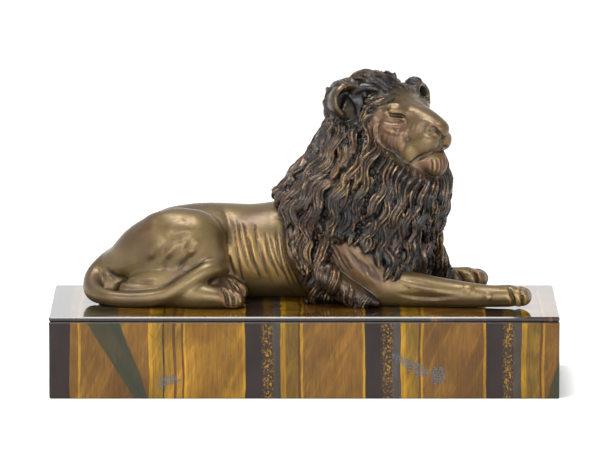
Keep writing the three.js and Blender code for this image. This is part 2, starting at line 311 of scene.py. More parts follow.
def hind_legs(clay):
    """The near leg folded under the haunch, and the far one, whose foot shows below the belly."""
    near_thigh = [
        (-65.5, 4, 11, 7, 8),
        (-57, 1, 15.8, 10, 12),
        (-46, -1.5, 19.8, 11.5, 14),
        (-39.5, -3, 20.5, 11, 13.2),
    ]
    near_shank = [
        (-33, -7, 17, 5.5, 7),
        (-42, -8, 11, 5.5, 6.5),
        (-54, -8.5, 7, 5, 5.5),
        (-62, -8, 5, 4, 4.5),
    ]
    near_foot = [
        (-60, -9, 3.4, 3.5, 3.6),
        (-48, -12.5, 3.8, 4.2, 4),
        (-36, -15, 4.2, 4.8, 4.6),
        (-27, -15, 3.6, 5.2, 3.6),
    ]
    far_foot = [(-44, -3, 4.5, 5, 5), (-33, -4.5, 5.6, 4.8, 5), (-26, -4.5, 4.8, 5, 4.4)]
    far_thigh = [
        (-60, 19, 9, 7, 8.5),
        (-51, 21, 12.5, 10, 12),
        (-40, 22, 12.5, 11, 12.4),
        (-32, 21.5, 9, 9.5, 9),
    ]
    # No daylight shows inside the tail's turn, so it is filled.
    inside_of_tail = (-69, 3, 4.5)
    egg(clay, inside_of_tail, (5, 6.5, 6.5))
    limb(clay, near_thigh, around=40)
    limb(clay, near_shank)
    limb(clay, near_foot, tip=0.6)
    limb(clay, far_foot, tip=0.6)
    limb(clay, far_thigh, around=40)
    toes(clay, (-24, -15, 3), -4, 2.5, (3.6, 1.6, 3))
    toes(clay, (-23, -4.5, 4), 0, 2.5, (3.6, 1.6, 3.4))


# %% Tail
def tail(clay):
    """It drops behind the rump, turns on the slab and comes forward along the near haunch."""
    limb(clay, [
        (-63, 9, 14.5, 7, 6.5),
        (-70, 7, 11.5, 5.4, 5),
        (-74.8, 3, 7.6, 4, 4.2),
        (-75.3, -4, 4.4, 3.2, 3.6),
        (-70, -11, 3, 3, 3.1),
        (-60, -14.5, 2.8, 3, 3),
        (-49, -16, 4.6, 3, 3),
        (-40, -15.5, 10, 3.1, 3.1),
        (-33, -13.5, 13.6, 3.2, 3.2),
        (-28.5, -10, 12.6, 2.4, 2.4),
    ], rings=80)


# %% Forelegs, and the body in one
def foreleg(clay, side, elbow, wrist, reach_of_toes):
    """Shoulder, upper arm, forearm and paw. reach_of_toes is the x of the toes' ends."""
    (ex, ey), (wx, wy) = elbow, wrist
    limb(clay, [
        (ex - 16, ey - side * 6, 28, 7, 9),
        (ex - 9, ey - side * 1.5, 19, 8, 10),
        (ex + 1, ey, 8.5, 6.5, 8),
    ])
    reach, drift = wx - ex, wy - ey
    limb(clay, [
        (ex - 2, ey, 6.2, 5.5, 6.8),
        (ex + reach * 0.25, ey + drift * 0.3, 6.1, 5.9, 6.5),
        (ex + reach * 0.6, ey + drift * 0.6, 4.9, 4.9, 5.3),
        (wx, wy, 4.2, 4.2, 4.1),
        (reach_of_toes - 8, wy - 0.4, 4.4, 4.9, 4.1),
    ], tip=0.7, rings=36)
    toes(clay, (reach_of_toes - 3.6, wy - 0.4, 4.1), 0, 2.6, (3.6, 1.75, 3.6))


def body_clay():
    clay = bmesh.new()
    trunk(clay)
    hind_legs(clay)
    tail(clay)
    foreleg(clay, NEAR, (26, -8.5), (66, -15), 81.3)
    foreleg(clay, FAR, (26, 21.5), (53, 25), 67.2)
    return clay


body = fuse(body_clay(), 0.6, "body")
relax(body, 12)

# %% [markdown]
# ## The head
#
# The head is drawn with its nose at the origin and its face along +X, and is then turned towards the
# near side and a little up. Each bone and pad is its own form: skull, bridge of the nose, brows, lids,
# cheeks, whisker pads, chin and jaw. The eyes are cut in later, because they are only narrow slits.

# %% The head's place
NOSE = (49.8, -8.5, 64.5)
HEAD_YAW = -43
HEAD_PITCH = 5
HEAD = Matrix.Translation(NOSE) @ turned(0, -HEAD_PITCH, HEAD_YAW)
HEAD_BACK = HEAD.inverted()
FACING = (math.cos(math.radians(HEAD_YAW)), math.sin(math.radians(HEAD_YAW)), 0)
print("the nose is", NOSE[2], "mm above the slab, and the head turned by", HEAD_YAW, "degrees")


# %% Ears
# The near ear is larger and sits further back and higher than the far one, because the head is cast a
# little askew.
EAR_AT = {NEAR: (-30.4, -16.8, 9.8), FAR: (-27, 16.6, 7.9)}
EAR_SIZE = {NEAR: 1.26, FAR: 1.04}


def ear_place(side):
    """The turn and place of an ear, whose cup opens along its own +X."""
    return HEAD @ Matrix.Translation(EAR_AT[side]) @ turned(0, -14, side * 20)


EAR_MIDDLE = {side: ear_place(side).to_translation() for side in SIDES}


def ear(clay, side):
    """A round ear: a rim that is open at its lower front, a thin back to close the cup, and hair in it."""
    place = ear_place(side) @ Matrix.Scale(EAR_SIZE[side], 4)
    egg(clay, (-2.3, 0, 0), (1.8, 5.8, 5.2), place=place)
    rim = []
    for step in range(10):
        angle = math.radians(-50 + step * 31)
        swell = math.sin(math.radians(20 + step * 15.5))
        middle = (0.4, side * 5 * math.cos(angle), 4.5 * math.sin(angle))
        rim.append((*middle, 0.5 + 0.7 * swell, 1.4 + 1.7 * swell))
    limb(clay, rim, up=(1, 0, 0), rings=60, place=place)
    for y, high in ((-2.2, 0.5), (-0.6, 2), (1.2, 1)):
        limb(clay, [
            (-0.6, y, -4.5, 0.8, 0.8),
            (0.6, y * 0.8, -1.5, 0.8, 0.8),
            (0.2, y * 0.5, high, 0.4, 0.4),
        ], place=place)


# %% The edge of the hair round the face
# From the middle of the forehead to the chin.
HAIRLINE = [
    (-19.5, 0, 11.5), (-20.5, 6.5, 10.5), (-23, 11.5, 6), (-24, 13.5, -2),
    (-22.5, 13.5, -8), (-19, 12, -13), (-14, 9.5, -16), (-9.5, 5.5, -17.5),
]


def hairline(count):
    """Points from the chin on the far side over the forehead to the chin on the near side."""
    return smooth_path([(x, -y, z) for x, y, z in HAIRLINE[:0:-1]] + HAIRLINE, np.linspace(0, 1, count))


def collar(clay):
    """A soft roll under the hairline, so that the face runs into the mane without a trench."""
    inward = np.array([0.84, 0.84, 0.9])
    low = np.array([-27, 0, -1]) * (1 - inward)
    stations = [(*(point * inward + low), 3.2, 3.2) for point in hairline(16)]
    limb(clay, stations, rings=70, place=HEAD)


# %% Bones and pads of the face
def middle_of_face(clay, place=HEAD):
    """Skull, bridge of the nose, nose, muzzle, chin and lower jaw."""
    egg(clay, (-27, 0, 0.5), (13, 12, 12.3), place=place)
    limb(clay, [
        (-1.9, 0, -0.9, 3.5, 2.7),
        (-5.6, 0, 0.8, 4.3, 3.4),
        (-9.5, 0, 2.4, 5, 3.8),
        (-14, 0, 4, 5.8, 4.2),
        (-19, 0, 5.6, 7.2, 4.6),
    ], place=place)
    egg(clay, (-1.5, 0, -1.4), (1.9, 3.7, 3.2), (0, -12, 0), place)
    egg(clay, (-12, 0, -2.2), (9.8, 7.3, 7), (0, -10, 0), place)
    egg(clay, (-5.4, 0, -13.2), (4.4, 4.6, 5.2), (0, 0, 0), place)
    egg(clay, (-7.8, 0, -12.4), (4.6, 6.4, 4.4), (0, -20, 0), place)
    limb(clay, [(-8, 0, -12.4, 5.4, 4.6), (-20, 0, -9, 9.8, 6.8)], place=place)


def half_of_face(clay, side, place=HEAD):
    """Whisker pad, lips, cheek, brow, corner of the jaw, upper lid and the pad under the eye."""
    egg(clay, (-6.7, side * 3.9, -6.1), (6.1, 4, 4.3), (0, -22, side * -10), place)
    egg(clay, (-12.4, side * 6.6, -9.7), (4.8, 3, 5), (0, -30, 0), place)
    egg(clay, (-20, side * 6.9, -3.4), (8.6, 5.8, 9), (0, -20, side * -8), place)
    egg(clay, (-18.5, side * 6, 5.6), (5.8, 5, 3), (0, -6, side * -30), place)
    limb(clay, [
        (-21, side * 9.4, -7.5, 3.2, 3.2),
        (-16, side * 7.6, -12.6, 3.2, 3.2),
        (-10.5, side * 5, -14.8, 2.8, 2.8),
    ], place=place)
    egg(clay, (-15.4, side * 6.4, 5.8), (3.2, 2.2, 1.7), (0, 6, side * -40), place)
    egg(clay, (-17.2, side * 7.2, 1), (5, 3.2, 2.4), (0, 4, side * -34), place)


def head_clay():
    clay = bmesh.new()
    middle_of_face(clay)
    for side in SIDES:
        half_of_face(clay, side)
        ear(clay, side)
    collar(clay)
    return clay


head = fuse(head_clay(), 0.45, "head")
relax(head, 12)

# %% [markdown]
# ## The mane's mass
#
# Under its locks the mane is one soft volume. It is drawn as level ellipses: low down they lie along
# the body, and higher up they turn with the head.

# %% Level sections of the mane
# Height, middle x and y, half length, half width, turn in degrees.
MANE = np.array([
    (6, 28, 7.5, 13, 14, 0),
    (15, 24.3, 7, 19.5, 18.3, 0),
    (26, 19, 6.8, 27, 21, 0),
    (36, 19.2, 6.8, 31.2, 23, -3),
    (42, 22.5, 6.8, 28.5, 22.5, -8),
    (48, 24.5, 7.5, 25, 21, -18),
    (54, 22.8, 9.5, 18.5, 20, -32),
    (61, 22.6, 12.2, 12, 19.4, HEAD_YAW),
    (68, 23.8, 12.8, 9.4, 16.4, HEAD_YAW),
    (75, 24.6, 10.4, 8.2, 10.6, HEAD_YAW),
    (79, 24.6, 8.5, 6, 7, HEAD_YAW),
    (81, 24.4, 8, 2.5, 3.5, HEAD_YAW),
])
# How far the mass lies under the mane's mean surface, to leave room for the locks.
UNDER_LOCKS = 1.0


def mane_mass(clay):
    """A sphere whose rings of vertices are pulled out to the level sections."""
    form, unit = ball(96, 72)
    fall = np.arccos(np.clip(unit[:, 2], -1, 1)) / np.pi
    height = MANE[-1, 0] + (MANE[0, 0] - MANE[-1, 0]) * fall
    x, y, long, wide, yaw = (np.interp(height, MANE[:, 0], MANE[:, k]) for k in range(1, 6))
    direction = np.arctan2(unit[:, 1], unit[:, 0])
    local = direction - np.radians(yaw)
    reach = 1 / np.hypot(np.cos(local) / long, np.sin(local) / wide) - UNDER_LOCKS
    reach = np.where((fall < 1e-3) | (fall > 1 - 1e-3), 0, np.maximum(reach, 0.2))
    points = np.stack([x + reach * np.cos(direction), y + reach * np.sin(direction), height], axis=1)
    move_to(form, points)
    add_form(clay, form)


# %% Tufts that stand out of the mane
BREAST = 10


def crown_tufts(clay):
    """Two tufts swept back from the brow, and one that stands up."""
    limb(clay, [
        (30, 6, 77.5, 2.2, 2),
        (26.5, 6, 80.2, 2.6, 2),
        (21.5, 6.5, 79.4, 2.6, 2),
        (17.6, 7, 77.4, 1.8, 1.6),
    ])
    limb(clay, [
        (30, 2.5, 73, 2.2, 1.8),
        (25, 1.5, 76.5, 2.6, 1.8),
        (19.5, 2, 76.5, 2.4, 1.8),
        (15.5, 3, 73, 1.6, 1.4),
    ])
    limb(clay, [(31.4, 8.5, 72, 2.4, 2.2), (31.9, 9, 77, 2, 1.9), (32.2, 9.5, 80.6, 1.2, 1.2)])


def flank_fringe(clay, side):
    """The hair behind an elbow, hanging down the flank to the slab."""
    for place in range(3):
        limb(clay, [
            (-5 + place * 4, BREAST + side * 12.5, 31 - place * 2, 3, 3.5),
            (-3 + place * 5, BREAST + side * 15, 20, 4, 4),
            (1 + place * 6, BREAST + side * 15.5, 9.5, 4, 4),
            (5.5 + place * 6, BREAST + side * (16 - place * 0.5), 2, 2.5, 2),
        ])


def breast_hair(clay):
    """A bib below the chin, and a tuft that runs out over the far foreleg."""
    limb(clay, [
        (42, 6, 51, 4.4, 3.4),
        (46, 5.5, 46.5, 5.9, 3.4),
        (46.4, 6, 38, 6.9, 2.9),
        (44.6, 7, 28, 5.4, 2.4),
    ], up=FACING)
    limb(clay, [(42, 17, 27, 4.4, 4.4), (44, 19, 18, 4.9, 4.4), (47, 21.5, 10, 3.9, 3.4)])


def elbow_tuft(clay):
    """A tuft that falls from the near elbow to the slab."""
    limb(clay, [
        (9, -10, 12, 4, 4),
        (14, -12.5, 7.5, 4.6, 3.6),
        (20, -14, 4, 3.6, 3),
        (26, -15.5, 1.6, 1.8, 1.4),
    ])


# %% The mane in one
def mane_clay():
    clay = bmesh.new()
    mane_mass(clay)
    crown_tufts(clay)
    for side in SIDES:
        flank_fringe(clay, side)
    breast_hair(clay)
    elbow_tuft(clay)
    return clay


mane = fuse(mane_clay(), 0.8, "mane mass")
relax(mane, 6)

# %% [markdown]
# ## Which way the hair grows
#
# Hair starts at the face, runs back over the crown and falls down the neck and the breast. One rule
# gives its direction anywhere: a pull down and a little back, and near the crown a pull away from the
# face. The part of that pull which lies in the surface is the way a lock grows there.

# %% Flow of the hair
CROWN_FROM, CROWN_TO = 64, 78
PULL_BACK = 0.32
PULL_FROM_FACE = 2.2
STRAY = 0.5


def flow(point, normal):
    """The direction of the hair at a point of the surface."""
    crown = min(max((point.z - CROWN_FROM) / (CROWN_TO - CROWN_FROM), 0), 1)
    pull = Vector((-PULL_BACK, 0, -1)) - Vector(FACING) * (PULL_FROM_FACE * crown)
    along = pull - normal * pull.dot(normal)
    along.rotate(Matrix.Rotation(STRAY * noise.noise(point / 13), 3, normal))
    return along.normalized()


# %% [markdown]
# ## Locks
#
# A lock is a limb with ridges along its upper side, laid along a path that is traced over the figure a
# step at a time. It starts under the skin, swells, sways from side to side and ends in a point that
# stands a little off the surface, so each lock overlaps the ones below it like a tile on a roof.

# %% Where no hair grows
EAR_CLEAR = 4.8


def near_ear(point, reach):
    """Whether a point is within reach of an ear's middle, for an ear of usual size."""
    return any((point - EAR_MIDDLE[side]).length < reach * EAR_SIZE[side] for side in SIDES)


# The near upper arm shows through the mane: middle x and z, half sizes, slope, and furthest y.
BARE_MIDDLE = (19, 14.5)
BARE_HALF = (13.5, 5.8)
BARE_SLOPE = math.radians(-40)
BARE_IN_FRONT_OF = -4
# The near foreleg lies bare below the mane's hem from this x on.
HEM_FROM, HEM_HEIGHT = 28.5, 9.5
# The mane ends here on the flank: heights, and the x at each.
FLANK_HEM = ((0, 12, 17, 29, 33, 38, 50), (1.5, -1, -4.5, -6.5, -8, -11.5, -30))


def bareness(x, y, z):
    """Under 1 where the near arm and foreleg are bare."""
    ahead, above = x - BARE_MIDDLE[0], z - BARE_MIDDLE[1]
    along = ahead * math.cos(BARE_SLOPE) + above * math.sin(BARE_SLOPE)
    aside = above * math.cos(BARE_SLOPE) - ahead * math.sin(BARE_SLOPE)
    reach = np.hypot(along / BARE_HALF[0], aside / BARE_HALF[1])
    reach = np.minimum(reach, 1 + np.maximum(HEM_FROM - x, z - HEM_HEIGHT) / 4)
    return np.where(y < BARE_IN_FRONT_OF, reach, 9)


def past_hem(point):
    """Whether a point lies behind the mane's edge on the flank."""
    return point.x < np.interp(point.z, *FLANK_HEM)


# %% Trace one lock
STEP = 1.0
WAVE_LENGTH = 13
SWAY = 0.52
# A lock ends where it would come lower than this, or so far into the bare arm.
LOWEST_HAIR = 0.8
BAREST_HAIR = 0.85


def wave_phase(root):
    """Neighbours sway nearly together, so the locks gather in waves."""
    return noise.noise(Vector(root) / 16) * math.pi * 2


def trace(surface, point, normal, length, phase):
    """A lock's path from a point on the surface, and the surface's normals along it, both smoothed."""
    path, normals = [point.copy()], [normal.copy()]
    for step in range(int(length / STEP)):
        along = flow(point, normal)
        turn = SWAY * math.cos(step * STEP / WAVE_LENGTH * 2 * math.pi + phase)
        along.rotate(Matrix.Rotation(turn, 3, normal))
        point, normal, _, _ = surface.find_nearest(point + along * STEP)
        if point.z < LOWEST_HAIR or near_ear(point, EAR_CLEAR):
            break
        if bareness(*point) < BAREST_HAIR or past_hem(point):
            break
        path.append(point.copy())
        normals.append(normal.copy())
    path, normals = np.array(path), np.array(normals)
    for _ in range(4):
        path[1:-1] = (path[:-2] + 2 * path[1:-1] + path[2:]) / 4
        normals[1:-1] = (normals[:-2] + 2 * normals[1:-1] + normals[2:]) / 4
    return path, unit_rows(normals)


# %% Shape one lock
LOCK_AROUND = 32
LOCK_RINGS = 28
# From this height up, the locks lie flatter and flatter.
CROWN_CALM = 68
# Along a lock: how far it stands off the surface, and its width and thickness as shares of the whole.
LOCK_LIFT = (-0.7, 0.2, 0.5, 0.7, 0.8, 1.0, 1.5)
LOCK_WIDTH = (0.4, 0.8, 1.0, 1.0, 0.8, 0.5, 0.1)
LOCK_THICKNESS = (0.5, 0.9, 1.0, 1.0, 0.85, 0.6, 0.2)


def lock(clay, path, normals, width, thickness, ridges):
    """A tapering limb along a traced path, flatter on the crown."""
    share = np.linspace(0, 1, len(path))
    steps = np.linspace(0, 1, len(LOCK_LIFT))
    lift, wide, thick = (np.interp(share, steps, row) for row in (LOCK_LIFT, LOCK_WIDTH, LOCK_THICKNESS))
    calm = np.interp(path[:, 2], (CROWN_CALM, CROWN_TO), (1, 0.55))
    lift, thick = np.where(lift > 0, lift * calm, lift), thick * calm
    stations = np.column_stack([path + normals * lift[:, None], wide * width / 2, thick * thickness])
    limb(clay, stations, up=normals, around=LOCK_AROUND, rings=LOCK_RINGS, caps=3, ridges=ridges)


# %% Where the hair starts
BEHIND_FACE = -22.5
UNDER_SKULL = -13


def is_hair(point, mane_tree):
    """Hair covers the mane's mass, and the skull from the hairline back."""
    at = HEAD_BACK @ point
    on_skull = at.x < BEHIND_FACE and at.z > UNDER_SKULL and abs(at.y) < 22
    return on_skull or mane_tree.find_nearest(point)[3] < 1.8


def hair_points(rough, mane):
    """The vertices of the rough figure where hair can start, each with its normal."""
    mane_tree = tree_of(mane)
    found = []
    for vert in rough.vertices:
        point = vert.co.copy()
        if point.z < 1.5 or vert.normal.z < -0.75 or near_ear(point, EAR_CLEAR + 0.5):
            continue
        if bareness(*point) < 1 or past_hem(point):
            continue
        if is_hair(point, mane_tree):
            found.append((point, vert.normal.copy()))
    return found


# %% Sow the roots
MOST_TRIES = 9000


def sow(hair, spacing_across, spacing_along, taken, chance):
    """Roots on the hair, kept apart more along the growth than across it, and from those taken."""
    roots = []
    points = [point for point, _ in taken]
    for point, normal in chance.sample(hair, min(len(hair), MOST_TRIES)):
        if points:
            along = np.array(flow(point, normal))
            across = np.cross(np.array(normal), along)
            gap = np.array(points) - np.array(point)
            beside = np.hypot(gap @ along / spacing_along, gap @ across / spacing_across)
            if np.hypot(beside, gap @ np.array(normal) / spacing_along).min() < 1:
                continue
        points.append(tuple(point))
        roots.append((tuple(point), normal))
    return roots


def hairline_roots(surface, ahead, count):
    """Roots on the forehead, down both sides of the face and along the jaw, where the hair starts."""
    edge = hairline(count)
    edge[:, 0] += ahead
    laid = [surface.find_nearest(HEAD @ Vector(point)) for point in edge]
    return [(tuple(point), normal) for point, normal, _, _ in laid]


# %% Sow the locks
CURLS_FROM = 70
SHORTEST_PATH = 4


def hair_locks(clay, surface, hair):
    """Broad locks, a row round the face, slim ones between them, and curls on the crown.

    Returns each lock's path, normals and width.
    """
    chance = random.Random(21)
    round_face = hairline_roots(surface, 0.9, 41)
    broad = sow(hair, 4.0, 8.5, round_face, chance)
    slim = sow(hair, 2.5, 6.5, broad + round_face, chance)
    on_crown = [(point, normal) for point, normal in hair if point.z > CURLS_FROM]
    curls = sow(on_crown, 3.2, 6, [], chance)
    made = []
    for roots, lengths, widths, thicknesses, ridges in (
        (broad, (16, 25), (4.4, 6.4), (1.6, 2.4), 3),
        (round_face, (14, 20), (2.6, 3.6), (1.3, 1.8), 2),
        (slim, (9, 16), (2, 3.4), (1.3, 1.8), 2),
        (curls, (8, 13), (2.6, 3.8), (2, 2.8), 2),
    ):
        for root, normal in roots:
            path, normals = trace(surface, Vector(root), normal, chance.uniform(*lengths), wave_phase(root))
            if len(path) < SHORTEST_PATH:
                continue
            width = chance.uniform(*widths)
            lock(clay, path, normals, width, chance.uniform(*thicknesses), ridges)
            made.append((path, normals, width))
    print("roots:", len(broad), "broad,", len(round_face), "round the face,", len(slim), "slim,",
          len(curls), "curls; locks made:", len(made))
    return made


# %% Fuse the whole figure
def with_meshes(clay, *meshes):
    """The clay with some meshes added to it."""
    for mesh in meshes:
        clay.from_mesh(mesh)
    return clay


rough = fuse(with_meshes(bmesh.new(), body, head, mane), 0.8, "rough figure")
relax(rough, 3)
surface = tree_of(rough)
hair_clay = bmesh.new()
hair_at = hair_points(rough, mane)
locks = hair_locks(hair_clay, surface, hair_at)
hair_mesh = mesh_from(hair_clay, "locks")
figure = fuse(with_meshes(bmesh.new(), body, head, mane, hair_mesh), 0.32, "figure")
relax(figure, 4, 0.5)

# %% [markdown]
# ## Strokes
#
# Creases, lids, nostrils, toes and ribs are pressed in with a tool, as in clay. A stroke follows a
# short path, which is first laid on the skin, and moves the vertices near it along their normals: in
# for a groove, out for a ridge, and most in the middle of the stroke.

# %% The tool
class Skin:
    """The figure's vertices while they are worked on."""

    def __init__(self, mesh):
        self.mesh = mesh
        self.points = points_of(mesh)
        self.normals = normals_of(mesh)
        self.tree = tree_of(mesh)
        self.patina_and_shade = np.zeros(len(self.points))
        self.beside_face = np.zeros(len(self.points))
        self.strokes = 0

    def commit(self):
        set_points(self.mesh, self.points)
        self.normals = normals_of(self.mesh)

    def lay(self, point, from_side):
        """A point on the skin: the nearest one, or the first one met when looking along +Y."""
        if from_side:
            met = self.tree.ray_cast(Vector((point[0], -60, point[2])), Vector((0, 1, 0)))[0]
            if met is not None:
                return met
        return self.tree.find_nearest(Vector(point))[0]

    def stroke(self, path, radius, lift, ends=1.0, place=None, from_side=False, patina_and_shade=0.0):
        """Raises the skin along a path by lift, or presses it in. ends is the lift's share at both ends.

        The darkness a stroke leaves is kept for the material: dark patina in its groove, painted shade in
        deep cuts.
        """
        self.strokes += 1
        if place is not None:
            path = [tuple(place @ Vector(point)) for point in path]
        if len(path) > 1:
            length = sum(math.dist(a, b) for a, b in zip(path, path[1:]))
            path = smooth_path(path, np.linspace(0, 1, max(3, int(length / 0.4))))
        laid = np.array([self.lay(point, from_side) for point in path])
        for _ in range(3 if len(laid) > 4 else 0):
            laid[1:-1] = (laid[:-2] + 2 * laid[1:-1] + laid[2:]) / 4
        near = np.flatnonzero(np.all(
            (self.points > laid.min(0) - radius) & (self.points < laid.max(0) + radius), axis=1))
        gap = np.linalg.norm(self.points[near][:, None] - laid[None], axis=2)
        closest = gap.argmin(axis=1)
        along = closest / max(len(laid) - 1, 1)
        fade = ends + (1 - ends) * np.clip(np.minimum(along, 1 - along) * 3.5, 0, 1)
        reach = radius * (0.45 + 0.55 * fade)
        share = np.clip(1 - (gap.min(axis=1) / reach) ** 2, 0, 1) ** 1.5
        self.points[near] += self.normals[near] * (share * fade * lift)[:, None]
        self.patina_and_shade[near] = np.maximum(self.patina_and_shade[near], np.clip(share * 1.5, 0, 1) * fade * patina_and_shade)

    def both_sides(self, path, radius, lift, ends=1.0, patina_and_shade=0.0):
        """A stroke on the face and its mirror image, in the head's own coordinates."""
        for side in SIDES:
            self.stroke([(x, side * y, z) for x, y, z in path], radius, lift, ends, HEAD, patina_and_shade=patina_and_shade)


skin = Skin(figure)
print("the skin has", len(skin.points), "points to move")

# %% [markdown]
# ## The face
#
# Under heavy brows the eyes are narrow slits, with a rim below and bags under them. Creases run from
# their inner corners down beside the nose. The nose ends in a flat pad with a comma-shaped nostril on
# each side; a groove leads down from it to the mouth, which rises between the full whisker pads.

# %% Eyes and brows
def eyes(skin):
    """Slits with rims in painted shade, their inner corners, lids and bags, and the furrow between the
    brows.
    """
    slit = [(-13.2, 3.8, 2), (-14.6, 5.2, 3.5), (-16.4, 6.8, 4.6), (-18.8, 8.4, 5.5), (-21.2, 9.7, 5.9)]
    skin.both_sides([(x - 0.2, y, z + 1.5) for x, y, z in slit[1:]], 1.1, 0.5, 0.3)
    skin.both_sides(slit[1:], 1.5, -0.5, 0)
    skin.commit()
    # The slits, their inner corners and the creases round the eyes are darkened with painted shade.
    skin.both_sides([(-14.1, 4.8, 3), (-16.2, 6.7, 4.6), (-18.9, 8.5, 5.5)], 1.0, -0.7, 0, patina_and_shade=1)
    skin.both_sides(slit[1:], 0.6, -0.35, 0, patina_and_shade=0.9)
    skin.both_sides([(-14.6, 5.2, 3.4), (-13.6, 4.2, 2.2), (-13, 4, 0.8)], 0.45, -0.2, 0.2, patina_and_shade=0.7)
    skin.commit()
    skin.both_sides([(x, y, z - 1.5) for x, y, z in slit[:4]], 0.7, 0.45, 0)
    skin.both_sides([(-13.4, 4.6, 1.4), (-14.6, 6, 0.9), (-16.4, 7.4, 1.4)], 0.5, -0.3, 0, patina_and_shade=0.6)
    skin.both_sides([(x - 0.3, y, z + 2.8) for x, y, z in slit[1:]], 0.7, -0.3, 0, patina_and_shade=0.5)
    skin.both_sides([(x - 0.5, y, z + 3.8) for x, y, z in slit[1:]], 0.8, 0.35, 0)
    for drop, deep in ((2.4, -0.35), (3.9, -0.3), (5.4, -0.2)):
        bag = [(-14.6, 5.8, 2.4 - drop), (-17, 8, 3.1 - drop * 1.1), (-20, 9.8, 4.4 - drop)]
        skin.both_sides(bag, 0.75, deep, 0, patina_and_shade=0.35)
    skin.stroke([(-17, 0, 9), (-13.5, 0, 7.4), (-10, 0, 6)], 2.2, -0.4, 0.3, HEAD)
    skin.both_sides([(-17.5, 1.6, 9.6), (-14.5, 2.4, 8)], 0.8, -0.2, 0)
    skin.commit()


# %% Nose and lips
def muzzle(skin):
    """Nostrils and their wings, the groove under the nose, the mouth, whisker rows and small folds."""
    skin.both_sides([(-13.2, 4.8, 1.4), (-12.4, 5.4, 0), (-11.6, 6, -2)], 0.9, -0.15, 0)
    skin.both_sides([(-1.2, 3.4, 0.6), (-4.5, 4.4, 1.6), (-8.5, 4.9, 2.8)], 1.4, 0.3, 0.2)
    nostril = [(-2.4, 4.3, 0.1), (-1.3, 3.5, -1.2), (-0.7, 2.3, -2.6), (-0.5, 1.4, -3.4)]
    # The nostrils, the groove under the nose and the mouth are darkened with painted shade.
    skin.both_sides(nostril, 1.0, -0.9, 0.3, patina_and_shade=1)
    skin.both_sides([(-0.9, 2.2, -2.6), (-0.8, 1.2, -3.8), (-0.7, 0.2, -5)], 0.6, -0.35, 0.4, patina_and_shade=0.7)
    skin.both_sides([(-1.5, 3.8, 1.5), (-3.1, 4.6, 0.7), (-4.2, 4.9, -1), (-3.8, 4.8, -2.8)], 1, 0.4, 0.3)
    skin.both_sides([(-1.2, 2.4, -4), (-2.6, 4.2, -3.8), (-4.4, 5, -3.4)], 0.9, -0.35, 0.2)
    skin.stroke([(-0.4, 0, -4), (-0.9, 0, -6), (-1.4, 0, -7.8)], 0.9, -0.5, 0.5, HEAD, patina_and_shade=0.7)
    mouth = [(-1.6, 0, -8), (-2.4, 2.6, -8.8), (-5, 5.4, -10.2), (-8.6, 7.2, -11.6), (-11.6, 8.2, -13.4)]
    skin.both_sides(mouth, 1.2, -0.9, 0.4, patina_and_shade=0.5)
    skin.commit()
    skin.both_sides([(x, y, z - 0.3) for x, y, z in mouth], 0.6, -0.6, 0.3, patina_and_shade=0.9)
    for row, drop in enumerate((3.6, 5, 6.4)):
        whiskers = [(-4.4 - row * 0.6, 6.6, -drop), (-7.6, 8, -drop - 0.4), (-10, 7.8, -drop - 0.6)]
        skin.both_sides(whiskers, 0.6, -0.13, 0)
    skin.both_sides([(-10.8, 6.8, -2.6), (-12, 8, -6), (-12.4, 8.6, -10)], 1.2, -0.25, 0, patina_and_shade=0.2)
    for fold in range(4):
        x = -5.5 - fold * 1.6
        skin.both_sides([(x, 4.6, 0.6 + fold * 0.3), (x - 0.6, 5.8, -1.8)], 0.7, -0.14, 0)
    skin.commit()


# %% Chin, cheeks and ears
def chin_hair(skin):
    """Short grooves that fan down the chin."""
    for place in (-4.6, -3, -1.5, 0, 1.5, 3, 4.6):
        front = -1.2 - 0.12 * place * place
        groove = [(front, place, -11), (front + 0.4, place * 0.95, -14), (front - 1.6, place * 0.8, -18)]
        skin.stroke(groove, 0.6, -0.45, 0.1, HEAD, patina_and_shade=0.4)
    skin.commit()


def cheek_folds(skin):
    """Folds that run down the cheek, three short ones behind the eye, and the cheek bone."""
    for step in range(9):
        back = step * 1.05
        fold = [
            (-13.5 - back, 8 + step * 0.45, -0.5 - 0.3 * step + (step % 2) * 1.4),
            (-15 - back, 9.4 + step * 0.4, -5 - 0.4 * step),
            (-14.6 - back, 9.4 + step * 0.4, -10.5 - (step % 3)),
        ]
        skin.both_sides(fold, 0.75, -0.28, 0, patina_and_shade=0.4)
    for row in range(3):
        behind_eye = [(-20 - row * 0.6, 9.6, 3 - row * 1.5), (-22.5, 11, 1.5 - row * 2.2)]
        skin.both_sides(behind_eye, 0.7, -0.3, 0)
    skin.both_sides([(-22, 11, 2), (-18, 9.4, -0.6), (-14.5, 7.8, -3)], 2, 0.35, 0.2)
    skin.commit()


def ear_cups(skin):
    """Deepens the inside of the ears and darkens it with dark patina and painted shade."""
    for side in SIDES:
        cup = [(1, side * 2, 2.2), (1, 0, 0), (0.6, 0, -2.4)]
        skin.stroke(cup, 4, -0.3, 0.6, ear_place(side), patina_and_shade=0.8)
    skin.commit()


# %% Work the face
def close_hairline(skin):
    """Works the gutter between the face and the first locks flat, and notes where that is."""
    gutter = [HEAD @ Vector((x + 2.2, y * 0.97, z)) for x, y, z in hairline(60)]
    laid = np.array([skin.lay(point, False) for point in gutter])
    gap = np.full(len(skin.points), 99.0)
    for point in laid:
        gap = np.minimum(gap, np.linalg.norm(skin.points - point, axis=1))
    weight = 0.6 * np.clip(1.4 - gap / 1.6, 0, 1)
    skin.points = relaxed(skin.points, edges_of(skin.mesh), weight, 60)
    skin.beside_face = np.clip(1.5 - gap / 1.8, 0, 1)
    skin.commit()


close_hairline(skin)
ear_cups(skin)
eyes(skin)
muzzle(skin)
chin_hair(skin)
cheek_folds(skin)
print("strokes in the face and ears:", skin.strokes)

# %% [markdown]
# ## Muscles, folds and toes
#
# The near thigh has folds that fan up from the knee, the flank is wrinkled over the ribs, short hair
# lies along the bare upper arm, and every paw is parted into toes. But for the far toes the strokes
# are given on the near side, which is the one that is seen most.

